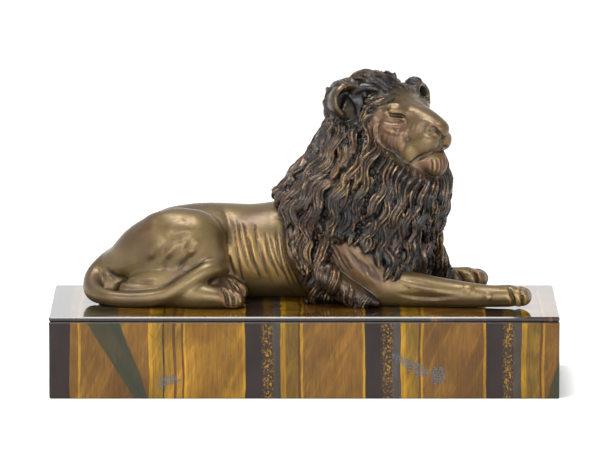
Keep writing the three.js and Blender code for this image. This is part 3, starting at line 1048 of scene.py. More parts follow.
# %% Thigh
def thigh(skin):
    """Muscles that swell, and the grooves between them."""
    raised = [
        ([(-50, -14, 25), (-45, -14, 28), (-40, -13, 29)], 4, 0.5),
        ([(-57, -12, 17), (-53, -13, 20.5), (-49, -13, 23)], 3.2, 0.5),
        ([(-49, -14, 17), (-46, -14, 21), (-42, -14, 23.5)], 2.6, 0.4),
        ([(-40.5, -13, 18), (-39.4, -13, 22), (-37, -13, 25)], 2.6, 0.5),
        ([(-64, -7, 25), (-56, -9, 30.5), (-46, -8, 33)], 3.6, 0.35),
    ]
    pressed = [
        ([(-56, -13, 13.5), (-51, -14, 19.5), (-45, -14, 24), (-38, -13, 27)], 2.2, -0.55),
        ([(-51, -13, 12), (-47.5, -14, 17.5), (-43, -14, 22), (-39.5, -13, 24.5)], 2, -0.5),
        ([(-45.5, -13, 12.5), (-41.5, -13, 17), (-37.5, -13, 20.5)], 1.6, -0.45),
        ([(-44.4, -13, 11), (-39.8, -13, 14), (-35.5, -12, 16.5)], 1.3, -0.4),
        ([(-31.9, -6, 36), (-27.2, -8, 29), (-26.2, -8, 22), (-28, -8, 16)], 1.8, -0.5),
        ([(-72, -6, 13), (-68, -9, 9.5), (-58, -11, 8.6), (-52, -11, 9)], 1.8, -0.8),
    ]
    for path, radius, lift in raised + pressed:
        skin.stroke(path, radius, lift, 0, from_side=True)
    skin.commit()


# %% Flank and shoulder
def flank(skin, chance):
    """Wrinkles that lean back as they rise, each with a soft ridge beside it."""
    for fold in range(14):
        top = -27.5 + fold * 1.9 + chance.uniform(-0.4, 0.4)
        high = 28.5 - 0.2 * fold + chance.uniform(-3, 2)
        low = chance.uniform(3, 12)
        lean = 4 + 0.2 * fold
        middle = (top + lean * 0.35 + chance.uniform(-0.6, 0.6), -7.5, (high + low) / 2)
        path = [(top, -6, high), middle, (top + lean, -7, low)]
        radius = chance.uniform(0.7, 1.1)
        skin.stroke(path, radius, -chance.uniform(0.3, 0.6), 0, from_side=True, patina_and_shade=0.25)
        ridge = [(x + 1, y, z) for x, y, z in path]
        skin.stroke(ridge, 1.2, chance.uniform(0.2, 0.4), 0, from_side=True)
    skin.commit()


def shoulder(skin, chance):
    """Short hair along the bare upper arm."""
    for row in range(11):
        x = 6 + row * 1.7
        z = 24.5 - row * 0.9 + chance.uniform(-2, 2)
        path = [(x, -16, z), (x + 2.6, -16, z - 4), (x + 4 + chance.uniform(0, 2), -16, z - 8.5)]
        skin.stroke(path, 0.9, -0.35, 0, from_side=True, patina_and_shade=0.6)
    skin.commit()


# %% Paws and forearm
def toe_clefts(skin):
    """Grooves between the toes."""
    near_fore = [
        [(72.6, -17.5, 6.6), (74.3, -19.6, 3.6), (74, -19.6, 0.6)],
        [(75.2, -17, 7), (77, -19, 4), (76.9, -19, 0.6)],
        [(77, -15, 7.6), (80.6, -15.8, 4.6), (80.9, -15.8, 1)],
        [(77, -13, 7.6), (81, -13.2, 4.6), (81.2, -13.2, 1)],
    ]
    near_hind = [[(x - 2, -16.5, 7), (x - 0.4, -19, 4.6), (x, -19.6, 0.8)] for x in (-27.2, -24.9, -22.6)]
    far_hind = [[(x - 2.4, -7, 9), (x - 0.3, -8.6, 5.4), (x, -8.8, 2)] for x in (-24.6, -22.4, -20.6)]
    far_fore = [
        [(54.4, 21.5, 8), (56.4, 20.2, 5), (56.8, 20.2, 1.6)],
        [(60, 21.6, 8), (61.9, 20.2, 5), (62.2, 20.2, 1)],
        [(62.5, 24, 8), (66.4, 23.4, 4.8), (66.8, 23.4, 1)],
        [(62.5, 26.2, 8), (66.6, 26, 4.8), (67, 26, 1)],
    ]
    for path in near_fore + near_hind + far_hind + far_fore:
        skin.stroke(path, 1.05, -1.25, 0.5)
    skin.commit()


def forearm(skin):
    """The sinews and the wrist of the near forearm."""
    skin.stroke([(34, -15, 9.6), (41, -17, 8.2), (48, -17.5, 7)], 2.0, 0.5, 0.2)
    skin.stroke([(33, -17, 5), (43, -18.5, 3.6), (53, -18.5, 4.4)], 1.6, -0.6, 0.2)
    skin.stroke([(56, -17, 8), (60, -17.5, 7.2)], 2.4, 0.6, 0.3)
    skin.stroke([(64, -18, 5), (66.5, -18.6, 4)], 2.0, 0.5, 0.3)
    skin.commit()


thigh(skin)
flank(skin, random.Random(4))
shoulder(skin, random.Random(3))
toe_clefts(skin)
forearm(skin)
print("strokes so far:", skin.strokes)

# %% [markdown]
# ## Strands
#
# Every lock is combed into strands. For each vertex of the hair the lock it lies on is looked up, and
# how far across that lock it is; a wave over that distance raises and lowers it. The same distance is
# kept as an attribute of the mesh, so the bronze's material can draw still finer hair along it.

# %% Look up the nearest lock
FACES_OF_A_LOCK = LOCK_AROUND * LOCK_RINGS


def locate_on_locks(points, locks, hair_mesh):
    """For each point its nearest lock's number, how far across that lock it is, and how far away."""
    tree = tree_of(hair_mesh)
    found = [tree.find_nearest(Vector(point)) for point in points]
    owner = np.array([hit[2] // FACES_OF_A_LOCK for hit in found])
    away = np.array([hit[3] for hit in found])
    across = np.zeros(len(points))
    for number, (path, normals, _) in enumerate(locks):
        mine = np.flatnonzero(owner == number)
        if not len(mine):
            continue
        forward = unit_rows(np.gradient(path, axis=0))
        sideways = unit_rows(np.cross(forward, normals))
        gap = points[mine][:, None] - path[None]
        nearest = np.linalg.norm(gap, axis=2).argmin(axis=1)
        row = np.arange(len(mine))
        across[mine] = np.sum(gap[row, nearest] * sideways[nearest], axis=1)
    return owner, across, away


# %% Part and comb the mane
PARTING_WIDTH = 1.7
PARTING_DEPTH = -1.2
STRAND_WIDTH = 1.25
STRAND_DEPTH = 0.17
LOCK_ROUNDING = 0.4


def part_the_mane(skin, hair, chance):
    """Deep partings that gather the locks into a few large waves."""
    partings = sow(hair, 10, 26, [], chance)
    for root, normal in partings:
        path, _ = trace(surface, Vector(root), normal, chance.uniform(24, 38), wave_phase(root))
        if len(path) > 2 * SHORTEST_PATH:
            # Each parting is darkened with dark patina and painted shade.
            skin.stroke(path[::3], PARTING_WIDTH, PARTING_DEPTH, 0, patina_and_shade=0.5)
    skin.commit()
    print(len(partings), "partings")


def comb(skin, chance):
    """Strands on every lock, whose back is also rounded."""
    owner, across, away = locate_on_locks(skin.points, locks, hair_mesh)
    on_lock = np.clip((0.5 - away) / 0.2, 0, 1)
    width = np.array([width for _, _, width in locks])[owner]
    strand = np.array([STRAND_WIDTH * chance.uniform(0.75, 1.2) for _ in locks])[owner]
    start = np.array([chance.uniform(0, 2 * math.pi) for _ in locks])[owner]
    wave = np.cos(across / strand * 2 * np.pi + start) * STRAND_DEPTH
    rounding = LOCK_ROUNDING * (0.4 - np.clip(2 * across / width, -1.2, 1.2) ** 2)
    skin.points += skin.normals * (on_lock * (wave + rounding))[:, None]
    skin.commit()


part_the_mane(skin, hair_at, random.Random(5))
comb(skin, random.Random(8))

# %% [markdown]
# ## Where the patina lies
#
# On the real casting the brown patina is dark where a cloth can't reach and rubbed off where it can.
# So the mesh keeps, for each vertex, how much it stands out from its surroundings, finely and
# broadly. That is measured against the same skin after it has been smoothed. More attributes say where
# the hair is and how dark each lock is, where a stroke left dark patina and painted shade, where the
# patina is a warmer, redder brown, and where the flank is painted lighter as painted light.

# %% Measures of the skin
def smooth_step(value, low, high):
    """0 below low, 1 above high, and a soft rise between."""
    t = np.clip((value - low) / (high - low), 0, 1)
    return t * t * (3 - 2 * t)


def keep(mesh, name, values):
    """A number for each vertex, which a material can read by its name."""
    mesh.attributes.new(name, "FLOAT", "POINT").data.foreach_set("value", values.astype(np.float32))


def stand_out(skin, rounds, full):
    """How far each vertex stands out of the smoothed skin, as -1 to 1."""
    smooth = relaxed(skin.points, edges_of(skin.mesh), 0.6, rounds)
    return np.clip(np.sum((skin.points - smooth) * skin.normals, axis=1) / full, -1, 1)


def in_patches(points, patches):
    """1 in the middle of each round patch, fading to 0 at its rim."""
    share = np.zeros(len(points))
    for middle, radius in patches:
        gap = np.linalg.norm(points - np.array(middle), axis=1)
        share = np.maximum(share, 1 - smooth_step(gap, radius * 0.4, radius))
    return share


# %% Attributes of the skin
EAR_DARKNESS = 0.75
# Patches of a warmer brown, on the face, the mane and the forelegs: each a middle and a radius.
WARM = (
    ((46, -5, 51), 9.5),
    ((28.5, -3, 60), 12),
    ((15, -14, 13), 14),
    ((14, -14, 52), 16),
    ((27, -14, 9), 7),
    ((64, 24, 6), 8),
    ((2, -6, 18), 15),
)
# The flank is painted brighter: painted light where the light falls on it.
PAINTED_LIGHT_ON_FLANK = (((-20, -4, 17), 12), ((-10, -4, 14), 11))


def hair_share(skin, away):
    """1 in the hair, less inside the ears and beside the face, and 0 on the bare skin."""
    mane_tree = tree_of(mane)
    depth = np.array([mane_tree.find_nearest(Vector(p))[3] for p in skin.points])
    hair = np.maximum(1 - smooth_step(away, 0.35, 0.8), 1 - smooth_step(depth, 0.3, 0.8))
    for side in SIDES:
        gap = np.linalg.norm(skin.points - np.array(EAR_MIDDLE[side]), axis=1) / EAR_SIZE[side]
        hair = np.maximum(hair, EAR_DARKNESS * (1 - smooth_step(gap, 7.5, 9.5)))
    bare = 1 - smooth_step(bareness(*skin.points.T), 0.8, 1.1)
    hair = hair * (1 - bare * smooth_step(away, 0.3, 0.8))
    return hair * (1 - 0.5 * skin.beside_face)


def note_patina(skin, chance):
    """Keeps what the bronze's material reads as attributes of the mesh."""
    owner, across, away = locate_on_locks(skin.points, locks, hair_mesh)
    lit = 1 - 0.6 * skin.beside_face
    notes = {
        "hair": hair_share(skin, away),
        "across": across,
        "lock_tone": np.array([chance.random() for _ in locks])[owner],
        "combed": 1 - smooth_step(away, 0.3, 0.7),
        # Dark patina, and painted shade in the deepest cuts, left by the strokes.
        "patina_and_shade": skin.patina_and_shade,
        "warm": in_patches(skin.points, WARM),
        # Where the flank gets painted light.
        "flank_painted_light": in_patches(skin.points, PAINTED_LIGHT_ON_FLANK),
        "fine": stand_out(skin, 8, 0.12) * lit,
        "broad": stand_out(skin, 60, 0.6) * lit,
    }
    for name, values in notes.items():
        keep(skin.mesh, name, values)
        print(f"{name}: mean {values.mean():.2f}")


note_patina(skin, random.Random(12))

# %% [markdown]
# ## The finished piece
#
# The skin is cut flat where it meets the slab, turned to metres and thinned. Decimate takes triangles
# from the smooth flanks first and leaves them in the mane, where the shape needs them.

# %% Cut, thin and hand over
MOST_TRIANGLES = 196000
CUT_HEIGHT = 0.02


def triangles_in(mesh):
    return sum(len(face.vertices) - 2 for face in mesh.polygons)


def finished_lion(mesh):
    """The figure cut level, in metres and thinned."""
    clay = bmesh.new()
    clay.from_mesh(mesh)
    everything = clay.verts[:] + clay.edges[:] + clay.faces[:]
    bmesh.ops.bisect_plane(
        clay, geom=everything, plane_co=(0, 0, CUT_HEIGHT), plane_no=(0, 0, -1), clear_outer=True)
    bmesh.ops.holes_fill(clay, edges=[edge for edge in clay.edges if edge.is_boundary], sides=0)
    bmesh.ops.triangulate(clay, faces=[face for face in clay.faces if len(face.verts) > 4])
    to_metres = Matrix.Translation((0, 0, foot_of_lion)) @ Matrix.Scale(0.001, 4)
    bmesh.ops.transform(clay, verts=clay.verts, matrix=to_metres)
    dense = mesh_from(clay, "dense")
    thinned = with_modifier(dense, "DECIMATE", ratio=MOST_TRIANGLES / triangles_in(dense))
    thinned.name = "bronze_lion"
    thinned.shade_smooth()
    return new_object("bronze_lion", thinned)


lion = finished_lion(figure)
print("lion:", triangles_in(lion.data), "triangles")

# %% [markdown]
# ## Materials as small node trees
#
# Each finish is a procedural node tree. A few helpers keep it readable: one adds a node and joins its
# sockets, one does arithmetic, one mixes two colours. Colours are written as they look on screen and
# turned to the linear values that the shader expects.

# %% Helpers for nodes
def linear(colour):
    """A screen colour, 0 to 255 a channel, as linear RGBA."""
    return (*(((c / 255 + 0.055) / 1.055) ** 2.4 if c > 10 else c / 255 / 12.92 for c in colour), 1)


class Finish:
    """A material with one Principled shader, built from the back to the front."""

    def __init__(self, name, **constants):
        self.material = bpy.data.materials.new(name)
        self.material.use_nodes = True
        self.tree = self.material.node_tree
        self.shader = self.tree.nodes["Principled BSDF"]
        for socket, value in constants.items():
            self.shader.inputs[socket.replace("_", " ")].default_value = value

    def join(self, socket, value):
        """Links a socket to another node's output, or gives it a plain value."""
        if isinstance(value, bpy.types.NodeSocket):
            self.tree.links.new(value, socket)
        elif value is not None:
            socket.default_value = value

    def node(self, kind, inputs=(), **settings):
        """A new node. inputs joins sockets to values or to other nodes, settings are its own choices."""
        made = self.tree.nodes.new(kind)
        for name, value in settings.items():
            setattr(made, name, value)
        for name, value in dict(inputs).items():
            self.join(made.inputs[name], value)
        return made

    def math(self, operation, a, b=None, c=None):
        return self.node("ShaderNodeMath", {0: a, 1: b, 2: c}, operation=operation).outputs[0]

    def product(self, *values):
        made = values[0]
        for value in values[1:]:
            made = self.math("MULTIPLY", made, value)
        return made

    def ramp(self, value, low, high, to_low=0.0, to_high=1.0):
        """A soft step: to_low at low, to_high at high. low may be the larger one."""
        made = self.node("ShaderNodeMapRange", {
            "Value": value, "From Min": low, "From Max": high, "To Min": to_low, "To Max": to_high,
        }, interpolation_type="SMOOTHSTEP")
        return made.outputs["Result"]

    def mix(self, share, a, b, blend="MIX"):
        """Two colours, mixed by share: a at 0 and b at 1."""
        made = self.node("ShaderNodeMix", data_type="RGBA", blend_type=blend)
        self.join(made.inputs["Factor"], share)
        self.join(made.inputs["A"], linear(a) if isinstance(a, tuple) else a)
        self.join(made.inputs["B"], linear(b) if isinstance(b, tuple) else b)
        return made.outputs["Result"]

    def attribute(self, name):
        return self.node("ShaderNodeAttribute", attribute_name=name).outputs["Fac"]

    def place(self, grain=(1, 1, 1), turn=(0, 0, 0), middle=(0, 0, 0)):
        """Object coordinates, turned, then measured in grains whose sizes are given in millimetres."""
        source = self.node("ShaderNodeTexCoord").outputs["Object"]
        made = self.node("ShaderNodeMapping", {
            "Vector": source,
            "Location": [mm / 1000 for mm in middle],
            "Rotation": [math.radians(angle) for angle in turn],
            "Scale": [mm / 1000 for mm in grain],
        }, vector_type="TEXTURE")
        return made.outputs["Vector"]

    def noise(self, grain, turn=(0, 0, 0), middle=(0, 0, 0), detail=3.0, roughness=0.5):
        """Noise from 0 to 1 whose grains have the sizes of place()."""
        made = self.node("ShaderNodeTexNoise", {
            "Vector": self.place(grain, turn, middle),
            "Scale": 1.0,
            "Detail": detail,
            "Roughness": roughness,
        })
        return made.outputs["Fac"]

    def bump(self, height, distance, strength):
        made = self.node("ShaderNodeBump", {"Height": height, "Distance": distance, "Strength": strength})
        return made.outputs["Normal"]

    def paint(self, socket, value):
        self.join(self.shader.inputs[socket], value)

    def finished(self):
        print(self.material.name, "has", len(self.tree.nodes), "nodes")
        return self.material


# %% [markdown]
# ## Bronze
#
# A waxed brown patina over metal. The olive brown of the body turns nearly black in the mane and in
# every hollow, and golden where an edge is rubbed. The wax is a thin coat that gives pale, soft
# highlights. Finer hair than the mesh holds is a bump along each lock, read from its attribute.

# %% Tones of the patina
OLIVE = (97, 80, 45)
UMBER = (80, 61, 38)
RUSSET = (112, 70, 42)
RED_UMBER = (88, 58, 38)
# The colour of the painted light on the flank.
PAINTED_LIGHT_OLIVE = (150, 122, 72)
NIGHT = (20, 17, 17)
MANE_BROWN = (58, 46, 37)
RUBBED = (150, 120, 74)
FINE_STRAND = 0.42
# Depth of the finest relief, in metres.
FINE_RELIEF = 0.00012


def skin_tone(f, cloud, warm):
    """Olive brown in soft clouds, with painted light on the flank, and redder in the warm patches."""
    tone = f.mix(f.ramp(cloud, 0.35, 0.65), OLIVE, UMBER)
    # Painted light: the flank is lightened towards a brighter olive.
    tone = f.mix(f.product(f.attribute("flank_painted_light"), 0.8), tone, PAINTED_LIGHT_OLIVE)
    blotch = f.ramp(f.noise((3, 3, 3), detail=4, roughness=0.6), 0.35, 0.6, 0.1, 0.85)
    return f.mix(f.product(warm, blotch), tone, RED_UMBER)


def hair_tone(f, cloud, warm):
    """Every lock has a tone of its own, from nearly black to brown."""
    shade = f.math("ADD", f.attribute("lock_tone"), f.math("MULTIPLY_ADD", cloud, 2.0, -1.0))
    tone = f.mix(f.ramp(shade, 0.1, 1.0), NIGHT, MANE_BROWN)
    return f.mix(f.product(warm, 0.8), tone, UMBER)


def darkened(f, tone, hair, fine):
    """Dark patina in the hollows, and the dark patina and painted shade that the strokes left."""
    broad = f.product(f.attribute("broad"), f.ramp(hair, 0, 1, 0.2, 0.7))
    hollow = f.ramp(f.math("ADD", fine, broad), -0.1, -0.8)
    hollow = f.product(hollow, f.ramp(hair, 0, 1, 0.7, 1))
    return f.mix(f.math("MAXIMUM", hollow, f.attribute("patina_and_shade")), tone, NIGHT)


def rubbed(f, tone, hair, fine, grain):
    """Bright metal on the ridges, golden or red. In the hair it shows only as glints."""
    rub = f.math("ADD", f.product(fine, 0.8), f.product(grain, 0.9))
    rub = f.ramp(rub, 0.75, 1.3, 0, 0.6)
    glint = f.ramp(f.noise((4, 4, 5)), 0.42, 0.62)
    rub = f.product(rub, f.math("MAXIMUM", glint, f.math("SUBTRACT", 1.0, hair)))
    redness = f.noise((11, 11, 11), middle=(30, 10, 70), detail=2)
    return f.mix(rub, tone, f.mix(f.ramp(redness, 0.45, 0.6), RUBBED, RUSSET))


# %% The bronze
def bronze():
    """A coated metal whose tone follows the attributes of the skin."""
    f = Finish("brown_patina", Metallic=0.6, Coat_Weight=0.2, Coat_Roughness=0.28)
    hair, warm, fine = f.attribute("hair"), f.attribute("warm"), f.attribute("fine")
    cloud = f.noise((14, 14, 14), detail=4)
    grain = f.noise((1.2, 1.2, 1.2), detail=5, roughness=0.65)
    tone = f.mix(hair, skin_tone(f, cloud, warm), hair_tone(f, cloud, warm))
    tone = darkened(f, tone, hair, fine)
    f.paint("Base Color", rubbed(f, tone, hair, fine, grain))
    dullness = f.math("ADD", grain, f.product(hair, -0.25))
    f.paint("Roughness", f.ramp(dullness, 0.1, 0.7, 0.24, 0.48))
    strand = f.math("COSINE", f.product(f.attribute("across"), 2 * math.pi / FINE_STRAND))
    strand = f.product(strand, f.attribute("combed"))
    height = f.math("ADD", f.product(strand, 0.5), f.product(grain, 0.6))
    f.paint("Normal", f.bump(height, FINE_RELIEF, 0.6))
    return f.finished()


lion.data.materials.append(bronze())
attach(lion, "root")
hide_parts("lion_figure")

# %% [markdown]
# ## Banded stone
#
# The plinth is golden tiger's-eye: upright bands of gold, brown, slate and charcoal, with silky
# fibres, fine cracks and green wedges. The bands run through the whole stone, so their colour
# depends only on how far along the plinth a point lies, with a little waviness. Two colour ramps with
# hard steps hold their order: one for the left end, and one for a slice that comes back three times.

# %% The colours of the stone
NEARLY_BLACK = (24, 17, 15)
CHARCOAL = (35, 26, 24)
DARK_BROWN = (50, 36, 27)
SLATE = (62, 57, 50)
GOLD = (150, 112, 18)
AMBER = (119, 88, 18)
HONEY = (126, 90, 20)
FIELD = (101, 69, 21)
GREEN_BROWN = (108, 83, 18)
RED_BROWN = (84, 50, 22)
BRIGHT_STREAK = (178, 128, 30)
BROWN_CLOUD = (120, 96, 70)
DARK_FIBRE = (34, 24, 14)
CRACK = (30, 20, 14)
BROKEN_DARK = (40, 32, 28)
BROKEN_GREY = (74, 80, 88)
GREEN = (33, 39, 28)

# %% The order of the bands
# Where each band begins, in millimetres from its run's left end, and its stone.
LEFT_END = -91.5
LEFT_BANDS = (
    (0, CHARCOAL), (8.5, FIELD), (11.5, GOLD), (12.3, FIELD), (36.5, GOLD), (37.8, AMBER),
    (40, GREEN_BROWN), (41.6, CHARCOAL), (42.2, AMBER), (45, RED_BROWN), (46.2, AMBER),
    (48, RED_BROWN), (49, GOLD), (49.8, HONEY),
)
SLICE_START = -21.8
SLICE_LENGTH = 42.6
SLICE_BANDS = (
    (0, GOLD), (0.7, CHARCOAL), (7.0, DARK_BROWN), (10.4, SLATE), (13.2, GOLD), (15.0, GREEN_BROWN),
    (19.6, RED_BROWN), (20.4, GOLD), (21.2, FIELD),
)


def band_ramp(f, where, bands, length):
    """Hard-edged bands, read at a distance along their run."""
    ramp = f.node("ShaderNodeValToRGB", {"Fac": f.math("DIVIDE", where, length)})
    steps = ramp.color_ramp
    steps.interpolation = "CONSTANT"
    while len(steps.elements) < len(bands):
        steps.elements.new(1.0)
    for element, (start, colour) in zip(steps.elements, bands):
        element.position = start / length
        element.color = linear(colour)
    return ramp.outputs["Color"]


# %% [markdown]
# Over the bands lie fibres, streaks and flaws. The fibres are noise drawn out along the height, and the
# golden streaks in the broad fields are noise drawn out along a slant. A wedge is the space between
# two slanting lines, a broken patch is a field of small cells inside an oval, and a hairline is the
# thin level line of such drawn-out noise.

# %% Wedges, patches and hairlines
# A wedge: x of its left and right edge at the block's top, how far each moves right in 1 mm down.
WEDGES = ((-77, -65, 0.62, 0.36), (94.5, 98, -0.32, 0))
# Broken patches: middle x and height, half sizes, and the slope of the long axis in degrees.
PATCHES = (((-48, 6.5), (4.5, 2.2), 10), ((38.5, 11.5), (8, 2.2), -32), ((47.5, 8.5), (3.5, 3), 20))


def between(f, value, low, high, soft):
    """1 between low and high, fading over soft on both sides."""
    rise = f.ramp(value, f.math("SUBTRACT", low, soft), f.math("ADD", low, soft))
    fall = f.ramp(value, f.math("SUBTRACT", high, soft), f.math("ADD", high, soft), 1.0, 0.0)
    return f.product(rise, fall)


def wedge(f, along, depth, left, right, left_lean, right_lean):
    """1 between two slanting lines."""
    low = f.math("MULTIPLY_ADD", depth, left_lean, left)
    high = f.math("MULTIPLY_ADD", depth, right_lean, right)
    return between(f, along, low, high, 0.35)


def broken_patch(f, middle, half_sizes, slope):
    """1 inside an oval with a ragged edge."""
    (x, z), (half_length, half_height) = middle, half_sizes
    oval = f.place((half_length, 40, half_height), turn=(0, -slope, 0), middle=(x, 0, z))
    flat = f.node("ShaderNodeVectorMath", {0: oval, 1: (1, 0, 1)}, operation="MULTIPLY").outputs["Vector"]
    reach = f.node("ShaderNodeVectorMath", {0: flat}, operation="LENGTH").outputs["Value"]
    ragged = f.math("MULTIPLY_ADD", f.noise((2, 2, 2)), 1.6, -0.8)
    return f.ramp(f.math("ADD", reach, ragged), 1.0, 0.8)


def hairlines(f, grain, slope, level, width):
    """Thin lines where noise, drawn out along a slope in degrees, crosses a level."""
    drawn = f.noise(grain, turn=(0, slope, 0), detail=2, roughness=0.4)
    gap = f.math("ABSOLUTE", f.math("SUBTRACT", drawn, level))
    return f.ramp(gap, width, width * 0.4)


# %% Bands and silk
def bands(f, x):
    """The stone before its flaws, how far along the plinth a point lies, and how far into its slice."""
    wobble = f.noise((40, 30, 30), detail=2)
    fine_wobble = f.noise((2, 4, 14))
    along = f.math("ADD", x, f.math("MULTIPLY_ADD", wobble, 2.0, -1.0))
    along = f.math("ADD", along, f.math("MULTIPLY_ADD", fine_wobble, 1.0, -0.5))
    left = band_ramp(f, f.math("SUBTRACT", along, LEFT_END), LEFT_BANDS, SLICE_START - LEFT_END)
    in_slice = f.math("WRAP", f.math("SUBTRACT", along, SLICE_START), SLICE_LENGTH, 0.0)
    right = band_ramp(f, in_slice, SLICE_BANDS, SLICE_LENGTH)
    return f.mix(f.math("GREATER_THAN", along, SLICE_START), left, right), along, in_slice


def silk(f, stone, golden):
    """Bright streaks where the stone is golden, then brown clouds and dark upright fibres everywhere."""
    streak = f.noise((3, 6, 34), turn=(0, 24, 0), detail=5, roughness=0.6)
    cloud = f.noise((16, 16, 26), turn=(0, 20, 0), detail=4)
    fibre = f.noise((0.5, 0.9, 9), detail=4, roughness=0.6)
    stone = f.mix(f.product(golden, f.ramp(streak, 0.5, 0.68, 0, 0.4)), stone, BRIGHT_STREAK)
    stone = f.mix(f.ramp(cloud, 0.6, 0.38, 0, 0.5), stone, BROWN_CLOUD, "MULTIPLY")
    return f.mix(f.ramp(fibre, 0.4, 0.72, 0, 0.5), stone, DARK_FIBRE)


# %% Flaws
SPECKLED_FROM, SPECKLED_TO = 7.2, 10.2


def wedged(f, stone, along, depth):
    """Green wedges, a little torn."""
    torn = f.ramp(f.noise((2.5, 6, 22), turn=(0, -32, 0), detail=4), 0.35, 0.6, 1.0, 0.82)
    for edges in WEDGES:
        stone = f.mix(f.product(wedge(f, along, depth, *edges), torn), stone, GREEN)
    return stone


def cracked(f, stone, golden):
    """Two sets of hairlines, seen in the golden stone alone."""
    falling = hairlines(f, (4, 6, 34), -38, 0.56, 0.006)
    rising = hairlines(f, (5, 9, 44), 26, 0.42, 0.005)
    return f.mix(f.product(f.math("MAXIMUM", falling, rising), golden, 0.22), stone, CRACK)


def broken(f, stone):
    """Patches of small dark and grey cells."""
    cells = f.node("ShaderNodeTexVoronoi", {"Vector": f.place((1.7, 1.7, 1.2), turn=(0, 30, 0))})
    shade = f.node("ShaderNodeSeparateColor", {"Color": cells.outputs["Color"]}).outputs["Red"]
    rubble = f.mix(f.ramp(shade, 0.3, 0.7), BROKEN_DARK, BROKEN_GREY)
    for patch in PATCHES:
        share = f.product(broken_patch(f, *patch), f.ramp(shade, 0.25, 0.5, 0.15, 0.8))
        stone = f.mix(share, stone, rubble)
    return stone


def speckled(f, stone, along, in_slice):
    """Golden specks in the dark brown band of every slice."""
    speck = f.ramp(f.noise((0.6, 0.6, 0.8)), 0.5, 0.66, 0, 0.7)
    in_band = between(f, in_slice, SPECKLED_FROM, SPECKLED_TO, 1.2)
    in_band = f.product(in_band, f.math("GREATER_THAN", along, SLICE_START))
    return f.mix(f.product(speck, in_band), stone, GOLD)


# %% [markdown]
# On the slab the darkest stone covers nearly the whole edge and clouds the top. The block ends above in
# a line that is nearly black, because the joint between block and slab looks like that.

# %% The darkest stone
BLOCK_TOP, SLAB_TOP = 27.5, 29.25
JOINT_HEIGHT = 0.45


def slab_darkness(f, z):
    """Clouds on the slab's top, and nearly all of its edge."""
    on_top = f.math("GREATER_THAN", z, SLAB_TOP - 0.1)
    clouded = f.ramp(f.noise((24, 9, 30), detail=5, roughness=0.6), 0.38, 0.55, 0, 0.4)
    edged = f.ramp(f.noise((9, 60, 60)), 0.3, 0.42)
    return f.math("MULTIPLY_ADD", on_top, f.math("SUBTRACT", clouded, edged), edged)


def joint_darkness(f, z):
    """1 in the block's uppermost line."""
    return f.math("GREATER_THAN", z, BLOCK_TOP - JOINT_HEIGHT)


# %% The stone in one
def banded_stone(name, darkness, dark_share, roughness, shine):
    """darkness says where the darkest stone lies, and dark_share how much it covers there."""
    f = Finish(name, Roughness=roughness, Specular_IOR_Level=shine)
    axes = f.node("ShaderNodeSeparateXYZ", {"Vector": f.place()})
    stone, along, in_slice = bands(f, axes.outputs["X"])
    brightness = f.node("ShaderNodeRGBToBW", {"Color": stone}).outputs["Val"]
    golden = f.ramp(brightness, 0.04, 0.1)
    stone = silk(f, stone, golden)
    stone = wedged(f, stone, along, f.math("SUBTRACT", BLOCK_TOP, axes.outputs["Z"]))
    stone = cracked(f, stone, golden)
    stone = broken(f, stone)
    stone = speckled(f, stone, along, in_slice)
    dark = f.product(darkness(f, axes.outputs["Z"]), dark_share)
    f.paint("Base Color", f.mix(dark, stone, NEARLY_BLACK))
    return f.finished()


# %% [markdown]
# ## The block and the slab
#
# The two stones keep the places and sizes of the frame. Each starts as the operator's cube, stretched
# to its node's box. Its edges are then cut to small flat arrises, as a mason takes off a sharp edge.
# The slab's arris catches the overhead light as one thin white line.

# %% Two polished stones
def arrised_box(name, node, arris):
    """A node's box with an arris, given in metres, along every edge."""
    low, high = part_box(node)
    middle, size = (low + high) / 2, high - low
    clay = bmesh.new()
    stretch = Matrix.Translation(middle) @ Matrix.Diagonal((*size, 1))
    bmesh.ops.create_cube(clay, size=1, matrix=stretch)
    bmesh.ops.bevel(clay, geom=clay.edges[:], offset=arris, offset_type="OFFSET", segments=1, profile=0.5,
                    affect="EDGES", material=-1)
    bmesh.ops.recalc_face_normals(clay, faces=clay.faces)
    mesh = mesh_from(clay, name)
    piece = new_object(name, mesh)
    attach(piece, "root")
    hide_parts(node)
    print(name, "faces:", len(mesh.polygons), "size in mm:", [round(side * 1000, 2) for side in size])
    return piece


block = arrised_box("banded_block", "plinth_block", 0.0004)
block.data.materials.append(banded_stone("banded_stone", joint_darkness, 0.85, roughness=0.1, shine=0.2))
slab = arrised_box("polished_slab", "plinth_top_slab", 0.00045)
slab.data.materials.append(
    banded_stone("polished_stone", slab_darkness, 0.95, roughness=0.03, shine=0.4375))

# %% [markdown]
# ## Camera, floor and light
#
# The photograph was taken with a long lens, a little from above, on a white table that fades into a
# white backdrop. Its light is soft. So one broad source hangs above, a weaker one stands at the upper
# left, and one in front fills the shadows.

# %% Camera
IMAGE_WIDTH = 600
FOCAL_PIXELS = 7049
# Where the lens is, in metres, and how far it looks down, in degrees.
CAMERA_AT = (-0.001515, -2.48344, 0.4428)
CAMERA_DOWN = 8.94

camera_data = bpy.data.cameras.new("camera")
camera_data.sensor_width = 36
camera_data.lens = FOCAL_PIXELS / IMAGE_WIDTH * camera_data.sensor_width
camera_data.clip_start = 0.1
camera_data.clip_end = 50
camera = new_object("camera", camera_data)
camera.location = CAMERA_AT
camera.rotation_euler = (math.radians(90 - CAMERA_DOWN), 0, 0)
bpy.context.scene.camera = camera
print("lens:", round(camera_data.lens), "mm")

# %% Floor
WHITE = (250, 250, 250)
PALE_GREY = (246, 246, 246)
HALF_FLOOR = 6


def pale_table():
    f = Finish("pale_table", Roughness=0.6)
    f.paint("Base Color", f.mix(f.noise((4, 4, 4), detail=2), WHITE, PALE_GREY))
    return f.finished()


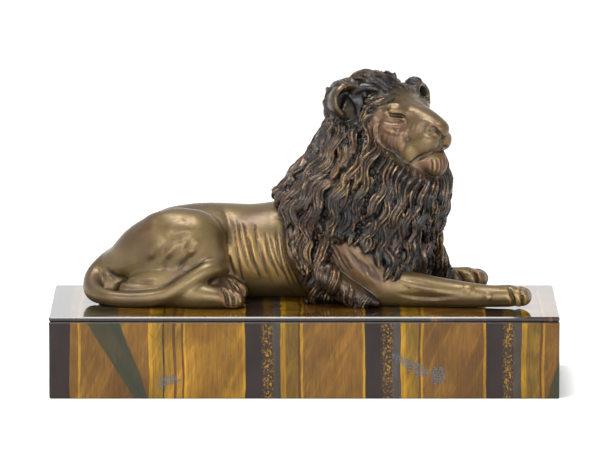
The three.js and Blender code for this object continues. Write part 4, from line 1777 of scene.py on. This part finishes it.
table_top = bmesh.new()
bmesh.ops.create_grid(table_top, x_segments=1, y_segments=1, size=HALF_FLOOR)
floor = new_object("floor", mesh_from(table_top, "floor"))
floor.data.materials.append(pale_table())

# %% [markdown]
# The white backdrop behind the table is brightest near the horizon. It is what the polished slab mirrors
# at this low angle, and what draws the pale rim along the lion's back. So the world's light grows
# towards the horizon, all the way round.

# %% The backdrop's light
def studio_world(above, horizon, top_of_glow):
    """White light whose strength falls from horizon to above, up to a height of top_of_glow."""
    world = bpy.data.worlds.new("studio")
    bpy.context.scene.world = world
    world.use_nodes = True
    nodes, links = world.node_tree.nodes, world.node_tree.links
    direction = nodes.new("ShaderNodeTexCoord").outputs["Generated"]
    split = nodes.new("ShaderNodeSeparateXYZ")
    links.new(direction, split.inputs["Vector"])
    glow = nodes.new("ShaderNodeMapRange")
    glow.interpolation_type = "SMOOTHSTEP"
    links.new(split.outputs["Z"], glow.inputs["Value"])
    heights = {"From Min": 0.0, "From Max": top_of_glow}
    strengths = {"To Min": horizon, "To Max": above}
    for socket, value in (heights | strengths).items():
        glow.inputs[socket].default_value = value
    background = nodes["Background"]
    background.inputs["Color"].default_value = (1, 1, 1, 1)
    links.new(glow.outputs["Result"], background.inputs["Strength"])


studio_world(above=0.8, horizon=1.9, top_of_glow=0.45)

# %% Soft lights
AIM = Vector((0, 0, 0.05))


def softbox(name, at, size, power):
    """A rectangular light in metres and watts that looks at the lion."""
    data = bpy.data.lights.new(name, "AREA")
    data.shape = "RECTANGLE"
    data.size, data.size_y = size
    data.energy = power
    lamp = new_object(name, data)
    lamp.location = at
    lamp.rotation_euler = (AIM - Vector(at)).to_track_quat("-Z", "Y").to_euler()
    print(name, "light:", power, "W,", round((AIM - Vector(at)).length, 2), "m away")


softbox("top", (-0.15, -0.1, 1.1), (0.7, 0.3), 11)
softbox("key", (-0.6, -0.8, 0.6), (0.4, 0.4), 4)
softbox("front", (0, -1.4, 0.35), (0.8, 0.5), 10)
bpy.context.scene.view_settings.view_transform = "Standard"
